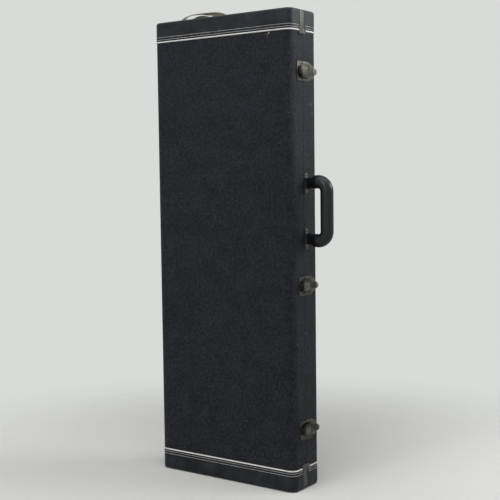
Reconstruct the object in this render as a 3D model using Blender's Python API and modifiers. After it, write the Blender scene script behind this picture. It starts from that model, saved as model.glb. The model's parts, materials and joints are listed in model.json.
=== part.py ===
"""Electric guitar case: a plywood clamshell with a shallow lid and a deeper base, standing on its neck end.

X is the width, with the handle and latches on +X and the hinges on -X. Y is the depth, with the lid on -Y.
Z runs up the length. The origin is the centre of the bottom end face. All sizes are in metres.
"""

import math

import bmesh
import bpy
from mathutils import Matrix, Vector

# Case body
LENGTH = 1.040
WIDTH = 0.375
LID_DEPTH = 0.0461
BASE_DEPTH = 0.0609
LONG_RADIUS = 0.0175
END_RADIUS = 0.0058
PLY = 0.0045
COVERING = 0.0012
END_COVER = 0.0018
GAP = 0.0003
SMALL_RADIUS = 0.0008
OVERRUN = 0.010

# White piping between the covering and the end covers, and the metal trim at the seam of the ends
PIPING_RADIUS = 0.0015
PIPING_FROM_BOTTOM = 0.0470
PIPING_FROM_TOP = 0.0451
PIPING_SINK = 0.00035
TRIM_WIDTH = 0.0075
CLIP_WIDTH = 0.0140
CLIP_LENGTH = 0.0100
CLIP_THICKNESS = 0.0010
CLIP_PAST_PIPING = 0.0020

# Inside the shells
LINING = 0.0030
RIM = 0.0030
RIM_SEAT = 0.0180
LIP_RISE = 0.0060
LIP_OVERLAP = 0.0030
LIP_CLEARANCE = 0.0008
LIP_HEADROOM = 0.0015

# Hinges
HINGE_FROM_END = 0.150
HINGE_LENGTH = 0.0380
HINGE_LEAF = 0.0180
HINGE_PLATE = 0.0012
KNUCKLE_RADIUS = 0.0030
KNUCKLES = 5
KNUCKLE_GAP = 0.0004
HINGE_PIN_RADIUS = 0.0013
HINGE_PIN_HEAD = 0.0022
HINGE_PIN_HEAD_LENGTH = 0.0010

# Latches, with distances from the seam and from the side
LATCH_FROM_BOTTOM = 0.1315
LATCH_FROM_TOP = 0.131
LATCH_BELOW_HANDLE = 0.162
LATCH_PLATE = 0.0012
LATCH_FROM_SEAM = 0.0006
CATCH_WIDTH = 0.0224
CATCH_HALF_HEIGHT = 0.0205
CATCH_BOW = 0.0030
CATCH_RIVET_HEIGHT = 0.0160
RIB_FROM_SEAM = 0.0136
RIB_WIDTH = 0.0020
RIB_HALF_HEIGHT = 0.0070
RIB_TOP = 0.0043
LATCH_BASE_WIDTH = 0.0444
LATCH_BASE_HALF_HEIGHT = 0.0210
LATCH_BASE_TAPER_START = 0.0220
LATCH_BASE_TAPER_HALF = 0.0120
LEVER_PIVOT = (0.0046, 0.0065)
HASP_PIVOT = (0.0042, 0.0145)
LATCH_PIN_RADIUS = 0.0012
EAR_INSIDE = 0.0085
EAR_THICKNESS = 0.0015
EAR_HALF_WIDTH = 0.0040
EAR_RISE = 0.0016
SIDE_CLEARANCE = 0.0004
CHEEK_THICKNESS = 0.0014
CHEEK_HUB = 0.0027
CHEEK_HUB_START = 40
CHEEK_LENGTH = 0.0160
CHEEK_RISE = 0.0018
LEVER_PLATE = 0.0016
TAB_HALF_WIDTH = 0.0075
TAB_FROM_PIVOT = 0.0275
TAB_HEIGHT = 0.0160
HASP_PLATE = 0.0014
HASP_ARM = 0.0020
HASP_LIFT = 0.0032
HASP_HUB = 0.0026
HASP_SETBACK = 0.0063
HASP_TIP_FROM_SEAM = 0.0190
HASP_PAD_HALF_HEIGHT = 0.0095
HASP_PAD_MARGIN = 0.0035
HASP_PAD_RISE = 0.0008
LIP_THICKNESS = 0.0016
LIP_HALF_HEIGHT = 0.0045
LIP_SETBACK = 0.0010

# Handle and its brackets
HANDLE_FROM_SEAM = 0.0109
HANDLE_FROM_TOP = 0.430
HANDLE_LEG_SPACING = 0.1200
HANDLE_SPLAY = 0.0034
HANDLE_REACH = 0.0526
HANDLE_CORNER = 0.0210
HANDLE_RADIUS = 0.0142
HANDLE_FLATNESS = 0.87
HANDLE_PIVOT = 0.0075
HANDLE_NOSE = 0.0050
HANDLE_NOSE_SHARES = (-1.0, -0.8, -0.45, 0.0)
HANDLE_WIDENING = (0.0, 0.5, 1.0)
HANDLE_END_HALF_WIDTH = 0.0102
HANDLE_NECK = 0.0070
HANDLE_TAPER = 0.0250
HANDLE_PIN_RADIUS = 0.0020
BRACKET_WIDTH = 0.0125
BRACKET_LENGTH = 0.0440
BRACKET_PLATE = 0.0012
BRACKET_EAR = 0.0015
BRACKET_EAR_WIDTH = 0.0090
SCREW_RADIUS = 0.0028
SCREW_HEIGHT = 0.0012
SCREW_INSET = 0.0036
RIVET_RADIUS = 0.0022
RIVET_HEIGHT = 0.0009
RIVET_INSET = 0.0045

# Carrying strap on the top end
STRAP_FROM_SIDE = 0.1005
STRAP_FROM_SEAM = 0.0184
STRAP_WIDTH = 0.0200
STRAP_THICKNESS = 0.0026
STRAP_HALF_SPAN = 0.078
STRAP_FULLNESS = 2.4
STRAP_RISE = 0.0215
STRAP_GRIP_HALF = 0.0480
STRAP_GRIP_TAPER = 0.0140
STRAP_GRIP_THICKNESS = 0.0056
STRAP_FOOT = 0.0130
STRAP_PLATE = 0.0012
STRAP_PLATE_LENGTH = 0.0125
STRAP_PLATE_MARGIN = 0.0015
STRAP_RIVET_OFFSET = 0.0050

# Feet on the hinge side
FOOT_FROM_END = 0.075
INNER_FOOT_FROM_END = 0.335
FOOT_FROM_SEAM = 0.0277
FOOT_RADIUS = 0.0090
FOOT_RISE = 0.0090
FOOT_FACE = 0.0055

# Padded interior, with heights above the lining's floor
BODY_SPACE = 0.442
BOLSTER_HEIGHT = 0.0340
BOLSTER_FROM_CHANNEL = 0.0010
UPPER_BOUT_FROM_WALL = 0.0253
UPPER_BOUT_FROM_TOP = 0.340
WAIST_FROM_WALL = 0.0493
WAIST_FROM_TOP = 0.255
LOWER_BOUT_FROM_WALL = 0.0103
LOWER_BOUT_FROM_TOP = 0.140
TAIL_FROM_WALL = 0.0433
TAIL_BLOCK_EDGE = 0.0300
TAIL_BLOCK_MIDDLE = 0.0120
TAIL_BLOCK_CLEARANCE = 0.0040
COMPARTMENT_LENGTH = 0.268
COMPARTMENT_HEIGHT = 0.0400
COMPARTMENT_WALL = 0.0030
COMPARTMENT_HINGE_STILE = 0.0062
COMPARTMENT_LID = 0.0040
NECK_CHANNEL_HALF = 0.0550
NECK_REST_LENGTH = 0.0400
NECK_NOTCH_HALF = 0.0300
NECK_NOTCH_DEPTH = 0.0220
NECK_NOTCH_CORNER = 0.0080
PULL_TAB_LENGTH = 0.0240
PULL_TAB_WIDTH = 0.0180
PULL_TAB_THICKNESS = 0.0015

# Facets
LONG_SEGMENTS = 6
END_SEGMENTS = 3
ARC_STEPS = 12
ROUND_SIDES = 12
SMALL_SIDES = 8
FOOT_SIDES = 18
TUBE_RESOLUTION = 2
HANDLE_RESOLUTION = 3
SMOOTH_STEPS = 4
ROUND_PROFILE = 0.5
TOLERANCE = 1e-6
SMOOTH_ANGLE = math.radians(35)

# Places worked out from the sizes
HALF_WIDTH = WIDTH / 2
FACE_Y = -(LID_DEPTH + BASE_DEPTH) / 2
BACK_Y = -FACE_Y
SEAM_Y = FACE_Y + LID_DEPTH
SHELL_INSET = END_COVER + GAP
SIDE_INSET = SHELL_INSET - GAP - COVERING
SIDE_X = HALF_WIDTH - SIDE_INSET
INSIDE_INSET = SHELL_INSET + PLY + GAP
ROOM_INSET = INSIDE_INSET + max(LINING, RIM) + GAP
FLOOR_Y = BACK_Y - INSIDE_INSET - LINING - GAP
HINGE_X = -(SIDE_X + GAP + KNUCKLE_RADIUS)
HINGE_CORNER = Vector((-SIDE_X, SEAM_Y, 0))
LATCH_CORNER = Vector((SIDE_X, SEAM_Y, 0))
PIPING_LOW = PIPING_FROM_BOTTOM
PIPING_HIGH = LENGTH - PIPING_FROM_TOP
ROOM_HALF = HALF_WIDTH - ROOM_INSET
ROOM_LOW = ROOM_INSET
ROOM_HIGH = LENGTH - ROOM_INSET
HINGE_HEIGHTS = (HINGE_FROM_END, LENGTH / 2, LENGTH - HINGE_FROM_END)
HANDLE_HEIGHT = LENGTH - HANDLE_FROM_TOP
LATCH_HEIGHTS = (LATCH_FROM_BOTTOM, HANDLE_HEIGHT - LATCH_BELOW_HANDLE, LENGTH - LATCH_FROM_TOP)
FOOT_HEIGHTS = (
    FOOT_FROM_END,
    INNER_FOOT_FROM_END,
    LENGTH - INNER_FOOT_FROM_END,
    LENGTH - FOOT_FROM_END,
)
STRAP_X = STRAP_FROM_SIDE - HALF_WIDTH
BODY_END_LOW = LENGTH - BODY_SPACE
COMPARTMENT_LOW = BODY_END_LOW - COMPARTMENT_LENGTH

# A piece drawn flat lies in one of these planes: its own X and Y run along the two named directions
PLAN = Matrix.Identity(3)
SIDE = Matrix(((0, 0, 1), (1, 0, 0), (0, 1, 0)))
FRONT = Matrix(((1, 0, 0), (0, 0, -1), (0, 1, 0)))


class Half:
    """One half of the clamshell: which way its closed face looks, and where its edge at the seam is."""

    def __init__(self, name, outward):
        self.name = name
        self.outward = outward
        self.face = BACK_Y if outward > 0 else FACE_Y
        self.edge = SEAM_Y + outward * GAP / 2

    def from_face(self, distance):
        return self.face - self.outward * distance

    def from_edge(self, distance):
        return self.edge + self.outward * distance


LID = Half("lid", -1)
BASE = Half("base", 1)


def clear_scene():
    for obj in list(bpy.data.objects):
        bpy.data.objects.remove(obj, do_unlink=True)


def new_collection(name, hidden=False):
    collection = bpy.data.collections.new(name)
    bpy.context.scene.collection.children.link(collection)
    collection.hide_render = hidden
    return collection


def new_material(name, colour, roughness, metallic=0.0):
    material = bpy.data.materials.new(name)
    material.use_nodes = True
    shader = material.node_tree.nodes["Principled BSDF"]
    shader.inputs["Base Color"].default_value = (*colour, 1.0)
    shader.inputs["Roughness"].default_value = roughness
    shader.inputs["Metallic"].default_value = metallic
    return material


clear_scene()
PARTS = new_collection("electric_guitar_case")
CUTTERS = new_collection("cutters", hidden=True)

COVERING_VINYL = new_material("covering_vinyl", (0.018, 0.018, 0.019), 0.62)
END_VINYL = new_material("end_vinyl", (0.016, 0.016, 0.018), 0.45)
PIPING_VINYL = new_material("piping_vinyl", (0.70, 0.70, 0.66), 0.45)
TRIM_METAL = new_material("trim_metal", (0.30, 0.31, 0.30), 0.42, 0.9)
LATCH_METAL = new_material("latch_metal", (0.22, 0.20, 0.16), 0.42, 0.9)
HINGE_METAL = new_material("hinge_metal", (0.32, 0.31, 0.28), 0.40, 0.9)
HANDLE_PLASTIC = new_material("handle_plastic", (0.012, 0.012, 0.013), 0.30)
STRAP_LEATHER = new_material("strap_leather", (0.055, 0.052, 0.036), 0.55)
FOOT_METAL = new_material("foot_metal", (0.36, 0.35, 0.32), 0.38, 0.9)
PLYWOOD = new_material("plywood", (0.48, 0.33, 0.19), 0.65)
RIM_FIBRE = new_material("rim_fibre", (0.02, 0.02, 0.02), 0.55)
LINING_PLUSH = new_material("lining_plush", (0.045, 0.040, 0.038), 0.95)
PAD_PLUSH = new_material("pad_plush", (0.055, 0.048, 0.045), 0.95)


def new_object(name, mesh, collection=PARTS):
    obj = bpy.data.objects.new(name, mesh)
    collection.objects.link(obj)
    return obj


def object_from(name, bm, collection=PARTS):
    mesh = bpy.data.meshes.new(name)
    bm.to_mesh(mesh)
    bm.free()
    return new_object(name, mesh, collection)


def block(name, low, high):
    """A box between two corners."""
    bm = bmesh.new()
    bmesh.ops.create_cube(bm, size=1)
    size = Vector(high) - Vector(low)
    place = Matrix.Translation((Vector(low) + Vector(high)) / 2) @ Matrix.Diagonal((*size, 1))
    bmesh.ops.transform(bm, matrix=place, verts=bm.verts)
    return object_from(name, bm)


def rod(name, radius, start, end, end_radius=None, sides=ROUND_SIDES):
    """A round bar, or a cone when its end has a radius of its own, between two points."""
    bm = bmesh.new()
    axis = Vector(end) - Vector(start)
    turn = Vector((0, 0, 1)).rotation_difference(axis).to_matrix().to_4x4()
    bmesh.ops.create_cone(
        bm,
        cap_ends=True,
        segments=sides,
        radius1=radius,
        radius2=radius if end_radius is None else end_radius,
        depth=axis.length,
        matrix=Matrix.Translation((Vector(start) + Vector(end)) / 2) @ turn,
    )
    return object_from(name, bm)


def as_mesh(obj):
    """The object as a plain mesh in world space, with its caps welded, in place of the object."""
    bpy.context.view_layer.update()
    graph = bpy.context.evaluated_depsgraph_get()
    mesh = bpy.data.meshes.new_from_object(obj.evaluated_get(graph))
    mesh.transform(obj.matrix_world)
    name = obj.name
    bpy.data.objects.remove(obj, do_unlink=True)
    bm = bmesh.new()
    bm.from_mesh(mesh)
    bmesh.ops.remove_doubles(bm, verts=bm.verts, dist=TOLERANCE)
    bmesh.ops.recalc_face_normals(bm, faces=bm.faces)
    bm.to_mesh(mesh)
    bm.free()
    return new_object(name, mesh)


def flat_piece(name, outline, plane, low, high):
    """An outline, or one with a hole, drawn in a plane and given its thickness along the plane's normal."""
    data = bpy.data.curves.new(name, "CURVE")
    data.dimensions = "2D"
    data.fill_mode = "BOTH"
    data.extrude = (high - low) / 2
    outlines = outline if isinstance(outline[0][0], tuple) else [outline]
    for points in outlines:
        spline = data.splines.new("POLY")
        spline.points.add(len(points) - 1)
        for point, (x, y) in zip(spline.points, points):
            point.co = (x, y, 0, 1)
        spline.use_cyclic_u = True
    obj = new_object(name, data)
    obj.matrix_world = plane.to_4x4() @ Matrix.Translation((0, 0, (low + high) / 2))
    return as_mesh(obj)


def tube(name, points, radius, widths=None, resolution=TUBE_RESOLUTION):
    """A round bar along a path, with its ends capped. Its width may follow the path."""
    data = bpy.data.curves.new(name, "CURVE")
    data.dimensions = "3D"
    data.bevel_depth = radius
    data.bevel_resolution = resolution
    data.use_fill_caps = True
    spline = data.splines.new("POLY")
    spline.points.add(len(points) - 1)
    for i, (point, place) in enumerate(zip(spline.points, points)):
        point.co = (*place, 1)
        point.radius = widths[i] if widths else 1
    return as_mesh(new_object(name, data))


def arc(centre, radius, start, end, steps=ARC_STEPS):
    """Points along an arc in a plane, from one angle to another in degrees."""
    turns = [math.radians(start + (end - start) * i / steps) for i in range(steps + 1)]
    return [(centre[0] + radius * math.cos(t), centre[1] + radius * math.sin(t)) for t in turns]


def smooth_line(points, steps=SMOOTH_STEPS):
    """A smooth curve through a few points, by Catmull-Rom interpolation."""
    ends = [points[0], *points, points[-1]]
    line = []
    for a, b, c, d in zip(ends, ends[1:], ends[2:], ends[3:]):
        for i in range(steps):
            t = i / steps
            line.append(
                tuple(
                    q + 0.5 * t * (r - p + t * (2 * p - 5 * q + 4 * r - s + t * (3 * (q - r) + s - p)))
                    for p, q, r, s in zip(a, b, c, d)
                )
            )
    return [*line, points[-1]]


def boolean(target, operand, operation):
    modifier = target.modifiers.new(operation.lower(), "BOOLEAN")
    modifier.operation = operation
    modifier.object = operand
    operand.hide_render = True
    operand.display_type = "WIRE"
    for collection in list(operand.users_collection):
        collection.objects.unlink(operand)
    CUTTERS.objects.link(operand)
    return target


def shaped(body, joins=(), cuts=(), within=()):
    """The body with some solids joined to it and others cut from it, trimmed to others, as one plain mesh."""
    operands = [*joins, *cuts, *within]
    for solid in joins:
        boolean(body, solid, "UNION")
    for solid in cuts:
        boolean(body, solid, "DIFFERENCE")
    for solid in within:
        boolean(body, solid, "INTERSECT")
    result = as_mesh(body)
    for solid in operands:
        bpy.data.objects.remove(solid, do_unlink=True)
    return result


def finish(obj, material, smooth=True):
    obj.data.materials.clear()
    obj.data.materials.append(material)
    if smooth:
        obj.data.shade_smooth()
        obj.data.set_sharp_from_angle(angle=SMOOTH_ANGLE)
    return obj


def with_origin(obj, origin):
    """Moves the object's origin to a point, with its shape left where it is."""
    obj.data.transform(Matrix.Translation(-Vector(origin)))
    obj.location = origin
    return obj


def copies(model, name, shifts, material):
    """One object for each shift, all sharing the model's mesh."""
    finish(model, material)
    made = []
    for number, shift in enumerate(shifts, start=1):
        copy = new_object(f"{name}_{number}", model.data)
        copy.location = model.location + shift
        made.append(copy)
    bpy.data.objects.remove(model, do_unlink=True)
    return made


def inner_radius(radius, inset):
    return max(radius - inset, SMALL_RADIUS)


def rounded_block(name, half_width, y_closed, y_open, low, high, long_radius, end_radius, rounded_ends):
    """A box with its long edges rounded on the closed face, and the edges round its low and high ends."""
    bm = bmesh.new()
    bmesh.ops.create_cube(bm, size=1)
    size = (2 * half_width, abs(y_closed - y_open), high - low)
    middle = (0, (y_closed + y_open) / 2, (low + high) / 2)
    place = Matrix.Translation(middle) @ Matrix.Diagonal((*size, 1))
    bmesh.ops.transform(bm, matrix=place, verts=bm.verts)

    def lies_at(edge, axis, value):
        return all(abs(vert.co[axis] - value) < TOLERANCE for vert in edge.verts)

    if long_radius:
        long_edges = [
            edge
            for edge in bm.edges
            if lies_at(edge, 1, y_closed) and abs(edge.verts[0].co.z - edge.verts[1].co.z) > TOLERANCE
        ]
        bmesh.ops.bevel(
            bm,
            geom=long_edges,
            offset=long_radius,
            segments=LONG_SEGMENTS,
            profile=ROUND_PROFILE,
            affect="EDGES",
        )
    rims = [
        edge
        for edge in bm.edges
        if any(lies_at(edge, 2, z) for z in rounded_ends)
        and not lies_at(edge, 1, y_open)
        and (long_radius or not lies_at(edge, 1, y_closed))
    ]
    if rims:
        bmesh.ops.bevel(
            bm, geom=rims, offset=end_radius, segments=END_SEGMENTS, profile=ROUND_PROFILE, affect="EDGES"
        )
    return object_from(name, bm)


def tray(name, half, inset, wall, edge_y, low, high, closed_ends, material):
    """A thin-walled half of the case: a closed face, two sides and the listed ends, open at the seam.

    inset is how far its outside lies within the case's overall box.
    """
    outside = rounded_block(
        name,
        HALF_WIDTH - inset,
        half.from_face(inset),
        edge_y,
        low,
        high,
        inner_radius(LONG_RADIUS, inset),
        inner_radius(END_RADIUS, inset),
        closed_ends,
    )
    inside_low = low + wall if low in closed_ends else low - OVERRUN
    inside_high = high - wall if high in closed_ends else high + OVERRUN
    inside = rounded_block(
        f"{name}_hollow",
        HALF_WIDTH - inset - wall,
        half.from_face(inset + wall),
        edge_y - half.outward * OVERRUN,
        inside_low,
        inside_high,
        inner_radius(LONG_RADIUS, inset + wall),
        inner_radius(END_RADIUS, inset + wall),
        [z for z, end in ((inside_low, low), (inside_high, high)) if end in closed_ends],
    )
    finish(outside, material)
    return boolean(outside, inside, "DIFFERENCE")


def make_shell(half):
    low, high = SHELL_INSET, LENGTH - SHELL_INSET
    return tray(f"{half.name}_shell", half, SHELL_INSET, PLY, half.edge, low, high, (low, high), PLYWOOD)


def make_covering(half):
    margin = PIPING_RADIUS + GAP
    low, high = PIPING_LOW + margin, PIPING_HIGH - margin
    name = f"{half.name}_covering"
    return tray(name, half, SIDE_INSET, COVERING, half.edge, low, high, (), COVERING_VINYL)


def make_end_cover(half, top):
    margin = PIPING_RADIUS + GAP
    low, high = (PIPING_HIGH + margin, LENGTH) if top else (0, PIPING_LOW - margin)
    closed = (high,) if top else (low,)
    edge = half.from_edge(TRIM_WIDTH + GAP)
    name = f"{half.name}_end_cover_{'top' if top else 'bottom'}"
    return tray(name, half, 0, END_COVER, edge, low, high, closed, END_VINYL)


def make_piping(half, top):
    """White piping round the face and both sides, stopping at the trim's clips."""
    z = PIPING_HIGH if top else PIPING_LOW
    reach = HALF_WIDTH - PIPING_SINK
    face = half.from_face(PIPING_SINK)
    bend = LONG_RADIUS - PIPING_SINK
    stop = half.from_edge(CLIP_WIDTH + GAP)
    centre = (reach - bend, face - half.outward * bend)
    turned = arc((0, 0), bend, 0, 90, LONG_SEGMENTS)
    corner = [(centre[0] + x, centre[1] + half.outward * y) for x, y in turned]
    side = [(reach, stop), *corner]
    path = side + [(-x, y) for x, y in reversed(side)]
    name = f"{half.name}_piping_{'top' if top else 'bottom'}"
    return finish(tube(name, [(x, y, z) for x, y in path], PIPING_RADIUS), PIPING_VINYL)


def make_end_trim(half, top):
    """A metal strip along the seam round one end, flush with the end cover, with a clip at each end of it."""
    end = LENGTH if top else 0
    inward = -1 if top else 1
    stop = (PIPING_HIGH if top else PIPING_LOW) + inward * PIPING_RADIUS
    low, high = sorted((end, stop))
    near, far = half.edge, half.from_edge(TRIM_WIDTH)
    name = f"{half.name}_end_trim_{'top' if top else 'bottom'}"
    strip = rounded_block(name, HALF_WIDTH, far, near, low, high, 0, END_RADIUS, (end,))
    hollow_low, hollow_high = sorted((end + inward * END_COVER, stop + inward * OVERRUN))
    overrun = half.outward * OVERRUN
    hollow = rounded_block(
        f"{name}_hollow",
        HALF_WIDTH - END_COVER,
        far + overrun,
        near - overrun,
        hollow_low,
        hollow_high,
        0,
        inner_radius(END_RADIUS, END_COVER),
        (end + inward * END_COVER,),
    )
    strip = shaped(strip, cuts=[hollow])
    clips = []
    clip_from = (PIPING_HIGH if top else PIPING_LOW) - inward * CLIP_PAST_PIPING
    for side in (-1, 1):
        clip_y = sorted((near, half.from_edge(CLIP_WIDTH)))
        clip_z = sorted((clip_from, clip_from + inward * CLIP_LENGTH))
        clip_x = sorted((side * (HALF_WIDTH + GAP), side * (HALF_WIDTH + GAP + CLIP_THICKNESS)))
        clips.append(
            block(f"{name}_clip", (clip_x[0], clip_y[0], clip_z[0]), (clip_x[1], clip_y[1], clip_z[1]))
        )
        step_y = sorted((near + half.outward * GAP, far - half.outward * GAP))
        step_z = sorted((clip_from + inward * GAP, stop + inward * GAP))
        step_x = sorted((side * (HALF_WIDTH - END_COVER / 2), side * (HALF_WIDTH + GAP + CLIP_THICKNESS / 2)))
        clips.append(
            block(f"{name}_step", (step_x[0], step_y[0], step_z[0]), (step_x[1], step_y[1], step_z[1]))
        )
    return finish(shaped(strip, joins=clips), TRIM_METAL)


def make_lining(half):
    low, high = INSIDE_INSET, LENGTH - INSIDE_INSET
    edge = half.from_edge(RIM_SEAT + GAP) if half is BASE else half.from_edge(LIP_RISE + LIP_HEADROOM)
    name = f"{half.name}_lining"
    return tray(name, half, INSIDE_INSET, LINING, edge, low, high, (low, high), LINING_PLUSH)


def make_base_rim():
    """The stiff rim glued inside the base, whose lip stands up into the lid."""

    def ring_block(name, inset, y_low, y_high):
        low, high = inset, LENGTH - inset
        radius = inner_radius(END_RADIUS, inset)
        return rounded_block(name, HALF_WIDTH - inset, y_low, y_high, low, high, 0, radius, (low, high))

    seat = ring_block("base_rim", INSIDE_INSET, BASE.edge, BASE.from_edge(RIM_SEAT))
    lip_inset = INSIDE_INSET - GAP + LIP_CLEARANCE
    lip = ring_block("base_rim_lip", lip_inset, SEAM_Y - LIP_RISE, BASE.from_edge(LIP_OVERLAP))
    opening_y = (SEAM_Y - LIP_RISE - OVERRUN, BASE.from_edge(RIM_SEAT + OVERRUN))
    opening = ring_block("base_rim_opening", INSIDE_INSET + RIM, *opening_y)
    return finish(shaped(seat, joins=[lip], cuts=[opening]), RIM_FIBRE)


def hinge_knuckles(owner):
    """The lower and upper heights of one leaf's knuckles: the base has the first and the last."""
    pitch = HINGE_LENGTH / KNUCKLES
    for number in range(KNUCKLES):
        if (number % 2 == 0) == (owner is BASE):
            low = -HINGE_LENGTH / 2 + number * pitch
            yield low + KNUCKLE_GAP / 2, low + pitch - KNUCKLE_GAP / 2


def make_hinge_leaf(half):
    """A leaf with its knuckles round the pin. Its frame lies on the case's hinge side, at the seam."""
    low_x, high_x = -(GAP + HINGE_PLATE), -GAP
    near = half.outward * (KNUCKLE_RADIUS + KNUCKLE_GAP)
    far = half.outward * HINGE_LEAF
    tongue = half.outward * KNUCKLE_RADIUS / 3
    half_length = HINGE_LENGTH / 2
    outline = [(far, half_length), (far, -half_length), (near, -half_length)]
    joins = []
    axis_x = -(GAP + KNUCKLE_RADIUS)
    for low, high in hinge_knuckles(half):
        outline += [(near, low), (tongue, low), (tongue, high), (near, high)]
        joins.append(rod("knuckle", KNUCKLE_RADIUS, (axis_x, 0, low), (axis_x, 0, high)))
    outline.append((near, half_length))
    leaf = flat_piece(f"{half.name}_leaf", outline, SIDE, low_x, high_x)
    for z in (-half_length + RIVET_INSET, half_length - RIVET_INSET):
        for y in (near + half.outward * RIVET_INSET, far - half.outward * RIVET_INSET):
            joins.append(rivet((low_x, y, z), (-1, 0, 0)))
    reach = half_length + OVERRUN
    bore = rod("bore", HINGE_PIN_RADIUS + GAP, (axis_x, 0, -reach), (axis_x, 0, reach))
    return shaped(leaf, joins=joins, cuts=[bore])


def make_hinge_pin():
    """The pin in the leaves' frame. Its two heads are wider than the bore."""
    half_length = HINGE_LENGTH / 2 + GAP
    axis_x = -(GAP + KNUCKLE_RADIUS)
    pin = rod("pin", HINGE_PIN_RADIUS, (axis_x, 0, -half_length), (axis_x, 0, half_length))
    heads = []
    for side in (-1, 1):
        start = (axis_x, 0, side * half_length)
        end = (axis_x, 0, side * (half_length + HINGE_PIN_HEAD_LENGTH))
        heads.append(rod("head", HINGE_PIN_HEAD, start, end))
    return shaped(pin, joins=heads)


def domed_head(place, normal, radius, height):
    """A low domed head standing on a plate and sunk a little into it."""
    place, normal = Vector(place), Vector(normal)
    foot = place - normal * LATCH_PLATE / 2
    return rod("head", radius, foot, place + normal * height, end_radius=radius / 2, sides=SMALL_SIDES)


def rivet(place, normal):
    return domed_head(place, normal, RIVET_RADIUS, RIVET_HEIGHT)


def screw(place, normal):
    return domed_head(place, normal, SCREW_RADIUS, SCREW_HEIGHT)


def side_block(name, outward, from_seam, heights):
    """A box in the latch side's own frame: out from the side, from the seam towards the base, and up."""
    low = (min(outward), min(from_seam), min(heights))
    high = (max(outward), max(from_seam), max(heights))
    return block(name, low, high)


def side_plate(name, outline, low, high):
    """A flat plate on the latch side: its outline is given from the seam and from the middle height."""
    return flat_piece(name, outline, SIDE, low, high)


def mirrored(outline):
    """The outline and its mirror image below the middle height, as one outline."""
    return [*outline, *[(x, -y) for x, y in reversed(outline)]]


def make_latch_catch():
    """The plate on the lid, with the upright rib that the hasp's lip drops behind."""
    near, far = -LATCH_FROM_SEAM, -LATCH_FROM_SEAM - CATCH_WIDTH
    half = CATCH_HALF_HEIGHT
    bow_radius = (half**2 + CATCH_BOW**2) / (2 * CATCH_BOW)
    bow_angle = math.degrees(math.asin(half / bow_radius))
    bow = arc((far + bow_radius, 0), bow_radius, 180 - bow_angle, 180 + bow_angle)
    top = GAP + LATCH_PLATE
    plate = side_plate("catch", [(near, half), *bow, (near, -half)], GAP, top)
    rib_y = (-RIB_FROM_SEAM - RIB_WIDTH, -RIB_FROM_SEAM)
    rib_z = (-RIB_HALF_HEIGHT, RIB_HALF_HEIGHT)
    rib = side_block("rib", (GAP + LATCH_PLATE / 2, RIB_TOP), rib_y, rib_z)
    heads = [
        rivet((top, near - RIVET_INSET, z), (1, 0, 0)) for z in (-CATCH_RIVET_HEIGHT, CATCH_RIVET_HEIGHT)
    ]
    return shaped(plate, joins=[rib, *heads])


def make_latch_base():
    """The plate on the base, with the two ears and the pin that carry the lever."""
    near, far = LATCH_FROM_SEAM, LATCH_FROM_SEAM + LATCH_BASE_WIDTH
    top = GAP + LATCH_PLATE
    corner = [(near, LATCH_BASE_HALF_HEIGHT), (LATCH_BASE_TAPER_START, LATCH_BASE_HALF_HEIGHT)]
    tip = (far, LATCH_BASE_TAPER_HALF)
    plate = side_plate("latch_base", mirrored([*corner, tip]), GAP, top)
    pivot_out, pivot_y = LEVER_PIVOT
    joins = []
    for side in (-1, 1):
        ear_x = (GAP + LATCH_PLATE / 2, pivot_out + EAR_RISE)
        ear_y = (pivot_y - EAR_HALF_WIDTH, pivot_y + EAR_HALF_WIDTH)
        ear_z = (side * EAR_INSIDE, side * (EAR_INSIDE + EAR_THICKNESS))
        joins.append(side_block("ear", ear_x, ear_y, ear_z))
    reach = EAR_INSIDE + EAR_THICKNESS + SIDE_CLEARANCE + CHEEK_THICKNESS
    pin_ends = [(pivot_out, pivot_y, z) for z in (-reach, reach)]
    joins.append(rod("lever_pin", LATCH_PIN_RADIUS, *pin_ends))
    for z in (-LATCH_BASE_HALF_HEIGHT + RIVET_INSET, LATCH_BASE_HALF_HEIGHT - RIVET_INSET):
        for from_seam in (near + RIVET_INSET, LATCH_BASE_TAPER_START - RIVET_INSET / 2):
            joins.append(rivet((top, from_seam, z), (1, 0, 0)))
    return shaped(plate, joins=joins)


CHEEK_INSIDE = EAR_INSIDE + EAR_THICKNESS + SIDE_CLEARANCE
CHEEK_OUTSIDE = CHEEK_INSIDE + CHEEK_THICKNESS
ARM_INSIDE = CHEEK_OUTSIDE + SIDE_CLEARANCE
ARM_OUTSIDE = ARM_INSIDE + HASP_ARM


def plan_piece(name, outline, low, high):
    """A piece whose outline is seen from above, given out from the side and from the seam."""
    return flat_piece(name, outline, PLAN, low, high)


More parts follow.
